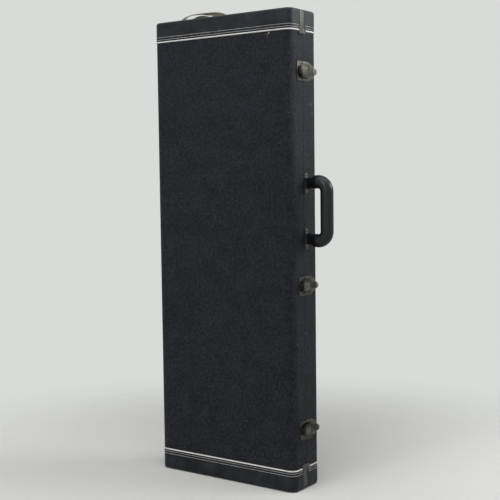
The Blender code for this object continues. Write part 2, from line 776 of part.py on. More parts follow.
def make_latch_lever():
    """Two cheeks on the base's pin, a web between them, the thumb tab, and a stub pin for each hasp arm."""
    out, y = LEVER_PIVOT
    top = out + CHEEK_RISE
    bottom = out - CHEEK_RISE
    end_y = y + CHEEK_LENGTH
    hub = arc((out, y), CHEEK_HUB, -CHEEK_HUB_START, CHEEK_HUB_START - 180)
    profile = [(top, y + CHEEK_HUB), (top, end_y), (bottom, end_y), (bottom, y + CHEEK_HUB), *reversed(hub)]
    cheeks = [
        plan_piece("cheek", profile, min(zs), max(zs))
        for zs in ((CHEEK_INSIDE, CHEEK_OUTSIDE), (-CHEEK_INSIDE, -CHEEK_OUTSIDE))
    ]
    tab_y = y + TAB_FROM_PIVOT
    web_start = HASP_PIVOT[1] + HASP_HUB + CHEEK_RISE
    web_half = CHEEK_OUTSIDE - CHEEK_THICKNESS / 2
    web_end = end_y - CHEEK_THICKNESS / 2
    neck_half = TAB_HALF_WIDTH - GAP
    neck_end = tab_y - LEVER_PLATE / 2
    web_outline = [(web_start, web_half), (web_end, web_half), (web_end, neck_half), (neck_end, neck_half)]
    web = side_plate("web", mirrored(web_outline), top - GAP - LEVER_PLATE, top - GAP)
    foot = top - LEVER_PLATE - 2 * GAP
    round_end = arc((TAB_HEIGHT - TAB_HALF_WIDTH, 0), TAB_HALF_WIDTH, 90, -90)
    tab_outline = [(foot, TAB_HALF_WIDTH), *round_end, (foot, -TAB_HALF_WIDTH)]
    tab = flat_piece("tab", tab_outline, FRONT, -tab_y, LEVER_PLATE - tab_y)
    stubs = []
    hasp_out, hasp_y = HASP_PIVOT
    for side in (-1, 1):
        start = (hasp_out, hasp_y, side * (CHEEK_INSIDE + CHEEK_THICKNESS / 2))
        stubs.append(rod("stub", LATCH_PIN_RADIUS, start, (hasp_out, hasp_y, side * ARM_OUTSIDE)))
    reach = ARM_OUTSIDE + OVERRUN
    bore = rod("bore", LATCH_PIN_RADIUS + GAP, (out, y, -reach), (out, y, reach))
    return with_origin(shaped(cheeks[0], joins=[web, cheeks[1], tab, *stubs], cuts=[bore]), (out, y, 0))


def make_latch_hasp():
    """The plate over the seam, with two arms on the lever's stub pins and a lip under its round tip."""
    out, y = HASP_PIVOT
    under = out + HASP_LIFT
    top = under + HASP_PLATE
    back = y - HASP_SETBACK
    half = ARM_OUTSIDE - GAP
    centre = -HASP_TIP_FROM_SEAM + half
    tip = arc((centre, 0), half, 90, 270)
    plate = side_plate("hasp", [(back, half), *tip, (back, -half)], under, top)
    joins = []
    hub = arc((out, y), HASP_HUB, 90, 270)
    arm_top = top + GAP
    for side in (-1, 1):
        arm = [(arm_top, y + HASP_HUB), *hub, (out, back - HASP_SETBACK), (arm_top, back - HASP_SETBACK)]
        low, high = sorted((side * ARM_INSIDE, side * ARM_OUTSIDE))
        joins.append(plan_piece("arm", arm, low, high))
    pad_y = (centre - half + HASP_PAD_MARGIN, back - HASP_PAD_MARGIN / 2)
    pad_z = (-HASP_PAD_HALF_HEIGHT, HASP_PAD_HALF_HEIGHT)
    joins.append(side_block("pad", (under + HASP_PLATE / 2, top + HASP_PAD_RISE), pad_y, pad_z))
    lip_y = (-HASP_TIP_FROM_SEAM + LIP_SETBACK, -HASP_TIP_FROM_SEAM + LIP_SETBACK + LIP_THICKNESS)
    lip_z = (-LIP_HALF_HEIGHT, LIP_HALF_HEIGHT)
    joins.append(side_block("lip", (RIB_TOP + GAP, under + HASP_PLATE / 2), lip_y, lip_z))
    reach = ARM_OUTSIDE + OVERRUN
    bore = rod("bore", LATCH_PIN_RADIUS + GAP, (out, y, -reach), (out, y, reach))
    return with_origin(shaped(plate, joins=joins, cuts=[bore]), (out, y, 0))


def make_handle():
    """The moulded grip: two legs that flatten to rounded ends on the pins, and a round bar between.

    Its frame is on the pins' axis, halfway between the legs.
    """
    half_spacing = HANDLE_LEG_SPACING / 2
    straight = HANDLE_REACH - HANDLE_PIVOT - HANDLE_CORNER
    nose = [(HANDLE_NOSE * share, HANDLE_END_HALF_WIDTH) for share in HANDLE_NOSE_SHARES]
    leg = [(reach, half_spacing, width) for reach, width in nose]
    for share in HANDLE_WIDENING:
        reach = HANDLE_NECK + share * (straight - HANDLE_NECK)
        width = HANDLE_END_HALF_WIDTH + share * (HANDLE_RADIUS - HANDLE_END_HALF_WIDTH)
        leg.append((reach, half_spacing + share * HANDLE_SPLAY, width))
    turned = arc((0, 0), HANDLE_CORNER, 90, 0, LONG_SEGMENTS)[1:]
    corner_z = half_spacing + HANDLE_SPLAY - HANDLE_CORNER
    corner = [(straight + x, corner_z + z, HANDLE_RADIUS) for x, z in turned]
    upper = leg + corner
    path = upper + [(x, -z, width) for x, z, width in reversed(upper)]
    points = [(x, 0, z) for x, z, _ in path]
    widths = [width / HANDLE_RADIUS for _, _, width in path]
    grip = tube("handle_grip", points, HANDLE_RADIUS, widths, HANDLE_RESOLUTION)
    for vertex in grip.data.vertices:
        reach = vertex.co.x
        if reach <= 0:
            thickness = math.sqrt(max(HANDLE_NOSE**2 - reach**2, GAP**2))
            local_width = HANDLE_END_HALF_WIDTH
        else:
            share = min(reach / HANDLE_TAPER, 1)
            eased = share * share * (3 - 2 * share)
            thickness = HANDLE_NOSE + eased * (HANDLE_FLATNESS * HANDLE_RADIUS - HANDLE_NOSE)
            widened = min(max(reach - HANDLE_NECK, 0) / (straight - HANDLE_NECK), 1)
            local_width = HANDLE_END_HALF_WIDTH + widened * (HANDLE_RADIUS - HANDLE_END_HALF_WIDTH)
        vertex.co.y *= thickness / local_width
    cuts = []
    for side in (-1, 1):
        middle = side * half_spacing
        ends = [(0, 0, middle + reach) for reach in (-HANDLE_REACH / 2, HANDLE_REACH / 2)]
        cuts.append(rod("bore", HANDLE_PIN_RADIUS + GAP, *ends))
    grip = finish(shaped(grip, cuts=cuts), HANDLE_PLASTIC)
    grip.location = LATCH_CORNER + Vector((HANDLE_PIVOT, HANDLE_FROM_SEAM, HANDLE_HEIGHT))
    return grip


def make_bracket():
    """The narrow plate screwed to the side, with two ears and the pin that the handle's leg turns on."""
    middle = HANDLE_FROM_SEAM
    top = GAP + BRACKET_PLATE
    width = (middle - BRACKET_WIDTH / 2, middle + BRACKET_WIDTH / 2)
    length = (-BRACKET_LENGTH / 2, BRACKET_LENGTH / 2)
    plate = side_block("bracket", (GAP, top), width, length)
    ear_inside = HANDLE_END_HALF_WIDTH + SIDE_CLEARANCE
    ear_outside = ear_inside + BRACKET_EAR
    half_ear = BRACKET_EAR_WIDTH / 2
    ear_foot = GAP + BRACKET_PLATE / 2
    joins = []
    for side in (-1, 1):
        round_top = arc((HANDLE_PIVOT, middle), half_ear, 90, -90)
        ear = [(ear_foot, middle + half_ear), *round_top, (ear_foot, middle - half_ear)]
        low, high = sorted((side * ear_inside, side * ear_outside))
        joins.append(plan_piece("ear", ear, low, high))
    ends = [(HANDLE_PIVOT, middle, z) for z in (-ear_outside - GAP, ear_outside + GAP)]
    joins.append(rod("handle_pin", HANDLE_PIN_RADIUS, *ends))
    for z in (-BRACKET_LENGTH / 2 + SCREW_INSET, BRACKET_LENGTH / 2 - SCREW_INSET):
        joins.append(screw((top, middle, z), (1, 0, 0)))
    return shaped(plate, joins=joins)


def make_strap():
    """A strap that arches between its flat ends, with a thicker grip sewn under its middle."""
    middle_y = SEAM_Y + STRAP_FROM_SEAM
    base = LENGTH + GAP
    foot = STRAP_HALF_SPAN + STRAP_FOOT
    steps = 2 * ARC_STEPS
    top, under = [], []
    for i in range(steps + 1):
        share = -math.cos(math.pi * i / steps)
        x = STRAP_HALF_SPAN * share
        rise = (STRAP_RISE - STRAP_THICKNESS) * (1 - abs(share) ** STRAP_FULLNESS)
        inside = min(max((STRAP_GRIP_HALF - abs(x)) / STRAP_GRIP_TAPER, 0), 1)
        grip = inside * inside * (3 - 2 * inside) * (STRAP_GRIP_THICKNESS - STRAP_THICKNESS)
        top.append((x, base + STRAP_THICKNESS + rise))
        under.append((x, base + rise - grip))
    left_end = [(-foot, base), (-foot, base + STRAP_THICKNESS)]
    right_end = [(foot, base + STRAP_THICKNESS), (foot, base)]
    outline = left_end + top + right_end + under[::-1]
    shifted = [(STRAP_X + x, z) for x, z in outline]
    half_width = STRAP_WIDTH / 2
    return finish(
        flat_piece("end_strap", shifted, FRONT, -middle_y - half_width, -middle_y + half_width), STRAP_LEATHER
    )


def make_strap_plates():
    """A riveted metal plate over each end of the strap."""
    middle_y = SEAM_Y + STRAP_FROM_SEAM
    for name, side in (("end_strap_plate_left", -1), ("end_strap_plate_right", 1)):
        end = STRAP_HALF_SPAN + STRAP_FOOT
        xs = sorted((STRAP_X + side * end, STRAP_X + side * (end - STRAP_PLATE_LENGTH)))
        low = LENGTH + GAP + STRAP_THICKNESS + GAP
        half_width = STRAP_WIDTH / 2 + STRAP_PLATE_MARGIN
        plate = block(
            name, (xs[0], middle_y - half_width, low), (xs[1], middle_y + half_width, low + STRAP_PLATE)
        )
        middle = (xs[0] + xs[1]) / 2
        heads = [
            rivet((middle, middle_y + offset, low + STRAP_PLATE), (0, 0, 1))
            for offset in (-STRAP_RIVET_OFFSET, STRAP_RIVET_OFFSET)
        ]
        finish(shaped(plate, joins=heads), HINGE_METAL)


def make_foot():
    """A turned domed foot with a flat face. Its frame lies on the hinge side, at the seam."""
    steps = LONG_SEGMENTS
    round_part = [
        (
            FOOT_FACE + (FOOT_RADIUS - FOOT_FACE) * math.sin(math.pi / 2 * i / steps),
            FOOT_RISE * math.cos(math.pi / 2 * i / steps),
        )
        for i in range(steps + 1)
    ]
    profile = [(0, FOOT_RISE), *round_part, (0, 0)]
    mesh = bpy.data.meshes.new("foot")
    mesh.from_pydata(
        [(x, 0, z) for x, z in profile], [(i, i + 1) for i in range(len(profile) - 1)], []
    )
    foot = new_object("foot", mesh)
    turn = foot.modifiers.new("turn", "SCREW")
    turn.steps = turn.render_steps = FOOT_SIDES
    turn.use_merge_vertices = True
    turn.merge_threshold = TOLERANCE
    place = Matrix.Translation((-GAP, FOOT_FROM_SEAM, 0))
    foot.matrix_world = place @ Matrix.Rotation(-math.pi / 2, 4, "Y")
    return as_mesh(foot)


def base_room():
    """The space inside the base's lining, with its rounded corners. What stands in it is trimmed to it."""
    radius_inset = INSIDE_INSET + LINING + GAP
    return rounded_block(
        "base_room",
        ROOM_HALF,
        FLOOR_Y,
        SEAM_Y - OVERRUN,
        ROOM_LOW,
        ROOM_HIGH,
        inner_radius(LONG_RADIUS, radius_inset),
        inner_radius(END_RADIUS, radius_inset),
        (ROOM_LOW, ROOM_HIGH),
    )


def upright_piece(name, outline, height):
    """A padded block on the base's floor. Its outline is seen from the lid, and may run past the walls."""
    piece = flat_piece(name, outline, FRONT, -(FLOOR_Y + OVERRUN), -(FLOOR_Y - height))
    return shaped(piece, within=[base_room()])


def make_bolster(name, side):
    """The padded block beside the guitar's body, following its bouts and waist."""
    shoulder = (NECK_CHANNEL_HALF + BOLSTER_FROM_CHANNEL, BODY_END_LOW)
    upper_bout = (ROOM_HALF - UPPER_BOUT_FROM_WALL, LENGTH - UPPER_BOUT_FROM_TOP)
    halfway = tuple((a + b) / 2 for a, b in zip(shoulder, upper_bout))
    waist = (ROOM_HALF - WAIST_FROM_WALL, LENGTH - WAIST_FROM_TOP)
    lower_bout = (ROOM_HALF - LOWER_BOUT_FROM_WALL, LENGTH - LOWER_BOUT_FROM_TOP)
    tail = (ROOM_HALF - TAIL_FROM_WALL, ROOM_HIGH + OVERRUN)
    edge = smooth_line([shoulder, halfway, upper_bout, waist, lower_bout, tail])
    past_wall = ROOM_HALF + OVERRUN
    outline = [*edge, (past_wall, ROOM_HIGH + OVERRUN), (past_wall, BODY_END_LOW)]
    points = [(side * x, z) for x, z in outline]
    return finish(upright_piece(name, points, BOLSTER_HEIGHT), PAD_PLUSH)


def make_tail_block():
    """The padded block behind the strap button, hollowed to the body's tail."""
    half = ROOM_HALF - TAIL_FROM_WALL - TAIL_BLOCK_CLEARANCE
    hollow = TAIL_BLOCK_EDGE - TAIL_BLOCK_MIDDLE
    radius = (half**2 + hollow**2) / (2 * hollow)
    angle = math.degrees(math.asin(half / radius))
    middle = ROOM_HIGH - TAIL_BLOCK_MIDDLE - radius
    inner = arc((0, middle), radius, 90 - angle, 90 + angle)
    past_end = ROOM_HIGH + OVERRUN
    return finish(
        upright_piece("tail_block", [*inner, (-half, past_end), (half, past_end)], BOLSTER_HEIGHT), PAD_PLUSH
    )


def make_compartment():
    """The accessory box beside the neck, open on top, with a wider stile under its lid's hinge."""
    right = -NECK_CHANNEL_HALF
    high = BODY_END_LOW - GAP
    top_y = FLOOR_Y - COMPARTMENT_HEIGHT
    box = block(
        "accessory_box",
        (-ROOM_HALF - OVERRUN, top_y, COMPARTMENT_LOW),
        (right, FLOOR_Y + OVERRUN, high),
    )
    wall = COMPARTMENT_WALL
    hollow = block(
        "accessory_hollow",
        (-ROOM_HALF + COMPARTMENT_HINGE_STILE, top_y - OVERRUN, COMPARTMENT_LOW + wall),
        (right - wall, FLOOR_Y - wall, high - wall),
    )
    return finish(shaped(box, cuts=[hollow], within=[base_room()]), LINING_PLUSH)


def accessory_hinge():
    """Where the lid of the accessory box turns: its lower edge over the hinge stile."""
    return (-ROOM_HALF + COMPARTMENT_HINGE_STILE - GAP, FLOOR_Y - COMPARTMENT_HEIGHT - GAP, 0)


def make_compartment_lid():
    x, y, _ = accessory_hinge()
    high = BODY_END_LOW - GAP
    lid = block(
        "accessory_lid", (x, y - COMPARTMENT_LID, COMPARTMENT_LOW), (-NECK_CHANNEL_HALF, y, high)
    )
    return with_origin(finish(lid, LINING_PLUSH), accessory_hinge())


def make_pull_tab():
    x, y, _ = accessory_hinge()
    middle = (COMPARTMENT_LOW + BODY_END_LOW) / 2
    under = y - COMPARTMENT_LID - GAP
    tab = block(
        "accessory_pull_tab",
        (-NECK_CHANNEL_HALF - PULL_TAB_LENGTH, under - PULL_TAB_THICKNESS, middle - PULL_TAB_WIDTH / 2),
        (-NECK_CHANNEL_HALF, under, middle + PULL_TAB_WIDTH / 2),
    )
    return with_origin(finish(tab, STRAP_LEATHER), accessory_hinge())


def make_neck_filler():
    """The padded block on the other side of the neck."""
    filler = block(
        "neck_filler",
        (NECK_CHANNEL_HALF, FLOOR_Y - COMPARTMENT_HEIGHT, COMPARTMENT_LOW),
        (ROOM_HALF + OVERRUN, FLOOR_Y + OVERRUN, BODY_END_LOW - GAP),
    )
    return finish(shaped(filler, within=[base_room()]), PAD_PLUSH)


def make_neck_rest():
    """The cradle between the accessory box and the filler, notched for the neck."""
    half = NECK_CHANNEL_HALF - GAP
    top = COMPARTMENT_HEIGHT
    corner = NECK_NOTCH_CORNER
    notch_low = top - NECK_NOTCH_DEPTH
    right = arc((NECK_NOTCH_HALF - corner, notch_low + corner), corner, 0, -90, LONG_SEGMENTS)
    left = [(-x, y) for x, y in reversed(right)]
    outline = [(half, 0), (half, top), (NECK_NOTCH_HALF, top), *right, *left]
    outline += [(-NECK_NOTCH_HALF, top), (-half, top), (-half, 0)]
    points = [(x, FLOOR_Y - height) for x, height in outline]
    low = COMPARTMENT_LOW
    return finish(flat_piece("neck_rest", points, PLAN, low, low + NECK_REST_LENGTH), PAD_PLUSH)


def carried_by(name, origin, pieces):
    """Parents the pieces to an empty on the axis that they turn about."""
    pivot = bpy.data.objects.new(name, None)
    PARTS.objects.link(pivot)
    pivot.location = origin
    for piece in pieces:
        piece.parent = pivot
        piece.matrix_parent_inverse = Matrix.Translation(-Vector(origin))


def build_case():
    lid_pieces = []
    for half in (LID, BASE):
        made = [make_shell(half), make_covering(half), make_lining(half)]
        for top in (False, True):
            made += [make_end_cover(half, top), make_piping(half, top), make_end_trim(half, top)]
        if half is LID:
            lid_pieces += made
    make_base_rim()

    hinge_shifts = [HINGE_CORNER + Vector((0, 0, z)) for z in HINGE_HEIGHTS]
    copies(make_hinge_leaf(BASE), "hinge_base_leaf", hinge_shifts, HINGE_METAL)
    lid_pieces += copies(make_hinge_leaf(LID), "hinge_lid_leaf", hinge_shifts, HINGE_METAL)
    copies(make_hinge_pin(), "hinge_pin", hinge_shifts, HINGE_METAL)

    latch_shifts = [LATCH_CORNER + Vector((0, 0, z)) for z in LATCH_HEIGHTS]
    lid_pieces += copies(make_latch_catch(), "latch_catch", latch_shifts, LATCH_METAL)
    copies(make_latch_base(), "latch_base", latch_shifts, LATCH_METAL)
    copies(make_latch_lever(), "latch_lever", latch_shifts, LATCH_METAL)
    copies(make_latch_hasp(), "latch_hasp", latch_shifts, LATCH_METAL)

    make_handle()
    spacing = HANDLE_LEG_SPACING / 2
    bracket_shifts = [
        LATCH_CORNER + Vector((0, 0, z)) for z in (HANDLE_HEIGHT - spacing, HANDLE_HEIGHT + spacing)
    ]
    copies(make_bracket(), "handle_bracket", bracket_shifts, LATCH_METAL)

    make_strap()
    make_strap_plates()
    foot_shifts = [HINGE_CORNER + Vector((0, 0, z)) for z in FOOT_HEIGHTS]
    copies(make_foot(), "foot", foot_shifts, FOOT_METAL)

    make_bolster("bolster_left", -1)
    make_bolster("bolster_right", 1)
    make_tail_block()
    make_compartment()
    make_compartment_lid()
    make_pull_tab()
    make_neck_filler()
    make_neck_rest()

    carried_by("lid_hinge_axis", (HINGE_X, SEAM_Y, 0), lid_pieces)


build_case()
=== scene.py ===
"""Electric guitar case, closed and standing on its neck end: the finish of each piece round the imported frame.

X is the width, with the handle and latches on +X. Y is the depth, with the lid on -Y. Z runs up the length.
"""

import json
import math

import bmesh
import bpy
from mathutils import Matrix, Vector, noise


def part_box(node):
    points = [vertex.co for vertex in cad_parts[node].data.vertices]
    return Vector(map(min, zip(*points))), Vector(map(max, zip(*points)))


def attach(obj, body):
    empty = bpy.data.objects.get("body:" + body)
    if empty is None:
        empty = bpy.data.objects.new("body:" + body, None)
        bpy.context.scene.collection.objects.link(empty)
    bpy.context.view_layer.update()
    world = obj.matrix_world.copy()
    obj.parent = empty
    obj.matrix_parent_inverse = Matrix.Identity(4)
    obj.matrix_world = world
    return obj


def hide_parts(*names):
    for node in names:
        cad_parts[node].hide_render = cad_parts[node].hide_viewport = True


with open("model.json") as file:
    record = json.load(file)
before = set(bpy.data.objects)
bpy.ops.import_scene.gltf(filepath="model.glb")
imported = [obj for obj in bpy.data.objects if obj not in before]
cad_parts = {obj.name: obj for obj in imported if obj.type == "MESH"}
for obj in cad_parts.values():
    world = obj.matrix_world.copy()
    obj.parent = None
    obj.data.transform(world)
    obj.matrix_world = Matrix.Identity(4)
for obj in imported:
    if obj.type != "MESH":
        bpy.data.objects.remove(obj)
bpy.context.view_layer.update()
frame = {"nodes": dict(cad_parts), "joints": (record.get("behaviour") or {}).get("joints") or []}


# Camera: it stands in front of the lid and towards the handle, at two thirds of the case's height, and
# looks down a little. It leans by less than a degree, as a camera held by hand does.
camera_place = (1.3378, -1.8391, 0.6899)
view_along = Vector((-0.5751, 0.8146, -0.0748)).normalized()
lean = Vector((-0.0329, 0.0684, 0.9971))
view_right = view_along.cross(lean).normalized()
view_up = view_right.cross(view_along)
camera_data = bpy.data.cameras.new("camera")
camera_data.sensor_width = 36
camera_data.lens = 72.14
camera_data.clip_end = 60
camera = bpy.data.objects.new("camera", camera_data)
camera_turn = Matrix((view_right, view_up, -view_along)).transposed().to_4x4()
camera.matrix_world = Matrix.Translation(camera_place) @ camera_turn
bpy.context.scene.collection.objects.link(camera)
bpy.context.scene.camera = camera
bpy.context.scene.view_settings.view_transform = "Standard"


# Studio: a pale floor that fades into a pale room, with a wide soft lamp overhead and weaker ones in front
# and beside. The room's brightness is for the eye and for reflections, and lights the case only weakly.
def linear(hex_colour):
    """An sRGB hex colour as linear red, green, blue and full alpha."""
    channels = [int(hex_colour[i : i + 2], 16) / 255 for i in (1, 3, 5)]
    return (*[c / 12.92 if c <= 0.04045 else ((c + 0.055) / 1.055) ** 2.4 for c in channels], 1)


def add_node(tree, kind, **settings):
    """Adds a node. Each setting is one of its properties, or an input's value or what is linked to it.

    An input goes by its name with underscores for spaces, or by in0, in1 and so on where names repeat. What
    is linked is an output, or a node, which stands for its first output.
    """
    node = tree.nodes.new(kind)
    for name, value in settings.items():
        if name in node.bl_rna.properties:
            setattr(node, name, value)
            continue
        numbered = name[:2] == "in" and name[2:].isdigit()
        socket = node.inputs[int(name[2:])] if numbered else node.inputs[name.replace("_", " ")]
        if isinstance(value, bpy.types.Node):
            value = value.outputs[0]
        if isinstance(value, bpy.types.NodeSocket):
            tree.links.new(value, socket)
        else:
            socket.default_value = value
    return node


world = bpy.data.worlds.new("studio")
bpy.context.scene.world = world
world.use_nodes = True
room = world.node_tree
room.nodes.clear()
path = add_node(room, "ShaderNodeLightPath")
seen = path.outputs["Is Camera Ray"]
for ray in ("Is Glossy Ray", "Is Transmission Ray"):
    seen = add_node(room, "ShaderNodeMath", operation="MAXIMUM", in0=seen, in1=path.outputs[ray])
lit = add_node(room, "ShaderNodeBackground", Color=linear("#dfe4ea"), Strength=0.3)
shown = add_node(room, "ShaderNodeBackground", Color=linear("#d9dbd9"), Strength=1.0)
both = add_node(room, "ShaderNodeMixShader", in0=seen, in1=lit, in2=shown)
add_node(room, "ShaderNodeOutputWorld", Surface=both)


def soft_lamp(name, place, target, width, depth, watts, spread=180):
    """A rectangular lamp aimed at a target. A small spread, in degrees, keeps its light in a narrow beam."""
    lamp_data = bpy.data.lights.new(name, "AREA")
    lamp_data.shape = "RECTANGLE"
    lamp_data.size = width
    lamp_data.size_y = depth
    lamp_data.energy = watts
    lamp_data.spread = math.radians(spread)
    lamp = bpy.data.objects.new(name, lamp_data)
    lamp.location = place
    lamp.rotation_euler = (Vector(target) - Vector(place)).to_track_quat("-Z", "Y").to_euler()
    bpy.context.scene.collection.objects.link(lamp)


# The overhead lamp lights the case and throws its shadow, and the front one lifts the face a little. The
# others draw the glints on the handle, light the upper side wall, and brighten the floor beside the case.
soft_lamp("overhead_lamp", (0.2, -0.9, 2.9), (0, 0, 0.4), 2.6, 2.2, 38)
soft_lamp("highlight_lamp", (-0.3, -2.4, 1.55), (0.2, 0, 0.75), 0.3, 0.3, 7)
soft_lamp("side_lamp", (1.3, 0.7, 1.75), (0.19, 0, 1.25), 1.5, 1.2, 5.6, spread=50)
soft_lamp("floor_lamp", (0.9, 0.5, 1.6), (0.75, 0.5, 0), 0.8, 0.8, 1.8, spread=70)
soft_lamp("front_lamp", (0.2, -3.4, 1.5), (0, 0, 0.6), 1.8, 1.8, 8)

# Matte paint shows no gloss, only the soft shadow round the case's foot.
FLOOR_RADIUS = 2.0
FLOOR_DROP = 0.0005
floor_material = bpy.data.materials.new("matte_painted_floor")
floor_material.use_nodes = True
tree = floor_material.node_tree
tree.nodes.clear()
place = add_node(tree, "ShaderNodeTexCoord").outputs["Object"]
reach = add_node(tree, "ShaderNodeVectorMath", operation="LENGTH", in0=place)
fade = add_node(
    tree,
    "ShaderNodeMapRange",
    interpolation_type="SMOOTHERSTEP",
    Value=reach.outputs["Value"],
    From_Min=0.3,
    From_Max=1.3,
)
paint = add_node(tree, "ShaderNodeBsdfDiffuse", Color=linear("#f0efea"))
clear = add_node(tree, "ShaderNodeBsdfTransparent")
surface = add_node(tree, "ShaderNodeMixShader", in0=fade, in1=paint, in2=clear)
add_node(tree, "ShaderNodeOutputMaterial", Surface=surface)
bm = bmesh.new()
bmesh.ops.create_circle(bm, cap_ends=True, segments=96, radius=FLOOR_RADIUS)
floor_mesh = bpy.data.meshes.new("floor")
bm.to_mesh(floor_mesh)
bm.free()
floor_mesh.materials.append(floor_material)
floor = bpy.data.objects.new("floor", floor_mesh)
floor.location.z = -FLOOR_DROP
bpy.context.scene.collection.objects.link(floor)


# Vinyl covering of the lid and the base: black vinyl-coated cloth, embossed with a rough bark-like grain,
# glued round the plywood. It is dull, a little dusty on the grain's high spots, and greyer where it rubs.
LONG_RADIUS = 0.0175
BODY_LOW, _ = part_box("lid_end_cover_bottom")
_, BODY_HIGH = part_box("base_end_cover_top")
SEAM_Y = frame["joints"][0]["pos_m"][1]
SEAM_GAP = 0.0001
HALF_WIDTH = BODY_HIGH.x
LENGTH = BODY_HIGH.z
BACK_Y = BODY_HIGH.y
FACE_Y = BODY_LOW.y
HALVES = {"lid": (FACE_Y, -1), "base": (BACK_Y, 1)}


def new_material(name):
    """An empty material, its node tree, and the object's own coordinates in it."""
    material = bpy.data.materials.new(name)
    material.use_nodes = True
    tree = material.node_tree
    tree.nodes.clear()
    return material, tree, add_node(tree, "ShaderNodeTexCoord").outputs["Object"]


def half_section(side_x, face_y, seam_y, radius, inset, side_steps, arc_steps, face_steps):
    """Points round half of the case in plan: from the seam on +X, over the face, to the seam on -X."""
    outward = math.copysign(1, face_y - seam_y)
    turn_y = face_y - outward * radius
    edge = [(side_x - inset, seam_y + (turn_y - seam_y) * i / side_steps) for i in range(side_steps)]
    bend = radius - inset
    for i in range(arc_steps + 1):
        angle = math.pi / 2 * i / arc_steps
        edge.append((side_x - radius + bend * math.cos(angle), turn_y + outward * bend * math.sin(angle)))
    x_end, y_end = edge[-1]
    face = [(x_end * (1 - 2 * i / face_steps), y_end) for i in range(1, face_steps)]
    return [*edge, *face, *[(-x, y) for x, y in reversed(edge)]]


def skinned(bm, rings, closed=False):
    """Adds the faces between each row of vertices and the next. A closed row ends where it starts."""
    for lower, upper in zip(rings, rings[1:]):
        if closed:
            lower, upper = [*lower, lower[0]], [*upper, upper[0]]
        for quad in zip(lower, lower[1:], upper[1:], upper):
            bm.faces.new(quad)


FINE_STEP = 0.0007
FINE_REACH = 0.0022


def tray(side_x, face_y, seam_y, low, high, radius, end_radius=0.0, closed=(), step=0.006, fine_at=()):
    """The surface of half of the case: an open tray with rounded long edges, closed at the ends listed.

    Its rows of vertices are a step apart, and closer near the heights in fine_at.
    """
    side_steps = max(2, round((abs(face_y - seam_y) - radius) / step))
    face_steps = 2 * round(side_x / step)
    arc_steps, end_steps = 10, 6
    rows = []
    turn = [math.pi / 2 * i / end_steps for i in range(end_steps)]
    if "low" in closed:
        rows += [(low + end_radius * (1 - math.cos(t)), end_radius * (1 - math.sin(t))) for t in turn]
    start = low + end_radius if "low" in closed else low
    stop = high - end_radius if "high" in closed else high
    count = max(1, round((stop - start) / step))
    heights = [start + (stop - start) * i / count for i in range(count + 1)]
    heights = [z for z in heights if all(abs(z - fine) > FINE_REACH for fine in fine_at)]
    heights += [fine + offset * FINE_STEP for fine in fine_at for offset in range(-2, 3)]
    rows += [(z, 0) for z in sorted(heights)]
    if "high" in closed:
        turn.reverse()
        rows += [(high - end_radius * (1 - math.cos(t)), end_radius * (1 - math.sin(t))) for t in turn]
    bm = bmesh.new()
    rings = []
    for z, inset in rows:
        plan = half_section(side_x, face_y, seam_y, radius, inset, side_steps, arc_steps, face_steps)
        rings.append([bm.verts.new((x, y, z)) for x, y in plan])
    skinned(bm, rings)
    for end, ring in (("low", rings[0]), ("high", rings[-1])):
        if end not in closed:
            continue
        corner = side_steps + arc_steps
        shares = [i / face_steps for i in range(1, face_steps)]
        grid = []
        for i in range(corner):
            right, left = ring[i], ring[-1 - i]
            inner = [bm.verts.new(right.co.lerp(left.co, share)) for share in shares]
            grid.append([right, *inner, left])
        grid.append(ring[corner : len(ring) - corner])
        skinned(bm, grid)
    bmesh.ops.recalc_face_normals(bm, faces=bm.faces)
    bm.faces.ensure_lookup_table()
    outer = max(bm.faces, key=lambda face: face.calc_center_median().x)
    if outer.normal.x < 0:
        bmesh.ops.reverse_faces(bm, faces=bm.faces)
    bm.normal_update()
    return bm


def in_scene(name, bm, material):
    """A mesh object with one material, made from a bmesh."""
    mesh = bpy.data.meshes.new(name)
    bm.to_mesh(mesh)
    bm.free()
    mesh.materials.append(material)
    obj = bpy.data.objects.new(name, mesh)
    bpy.context.scene.collection.objects.link(obj)
    return obj


def settled(obj, smooth_angle=40):
    """The object with its modifiers applied, smooth but for its sharp edges."""
    bpy.context.view_layer.update()
    graph = bpy.context.evaluated_depsgraph_get()
    mesh = bpy.data.meshes.new_from_object(obj.evaluated_get(graph))
    obj.modifiers.clear()
    obj.data = mesh
    mesh.shade_smooth()
    mesh.set_sharp_from_angle(angle=math.radians(smooth_angle))
    return obj


def walled(obj, thickness, outside=False, edge_radius=0.0004):
    """The open surface given its wall, with the wall's edges rounded over."""
    wall = obj.modifiers.new("wall", "SOLIDIFY")
    wall.thickness = thickness
    wall.offset = 1 if outside else -1
    wall.use_even_offset = True
    if edge_radius:
        edge = obj.modifiers.new("edge", "BEVEL")
        edge.width = edge_radius
        edge.segments = 2
        edge.angle_limit = math.radians(50)
    return settled(obj)


def placed_on(obj, body, slot, *nodes):
    """The piece rides on a body and stands for the nodes named. The slot is not used."""
    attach(obj, body)
    if nodes:
        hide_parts(*nodes)
    return obj


def embossed(tree, place, cell, stretch, crease, **wander):
    """An embossed grain of islands between creases, and the wandering coordinates that shape it."""
    drift = add_node(tree, "ShaderNodeTexNoise", Vector=place, **wander)
    bent = add_node(
        tree,
        "ShaderNodeVectorMath",
        operation="MULTIPLY_ADD",
        in0=drift.outputs["Color"],
        in1=(cell, cell, cell * stretch),
        in2=place,
    )
    cells = add_node(tree, "ShaderNodeTexVoronoi", feature="DISTANCE_TO_EDGE", Vector=bent, Scale=1 / cell)
    islands = add_node(
        tree,
        "ShaderNodeMapRange",
        interpolation_type="SMOOTHSTEP",
        Value=cells.outputs["Distance"],
        From_Max=crease,
    )
    return islands, bent


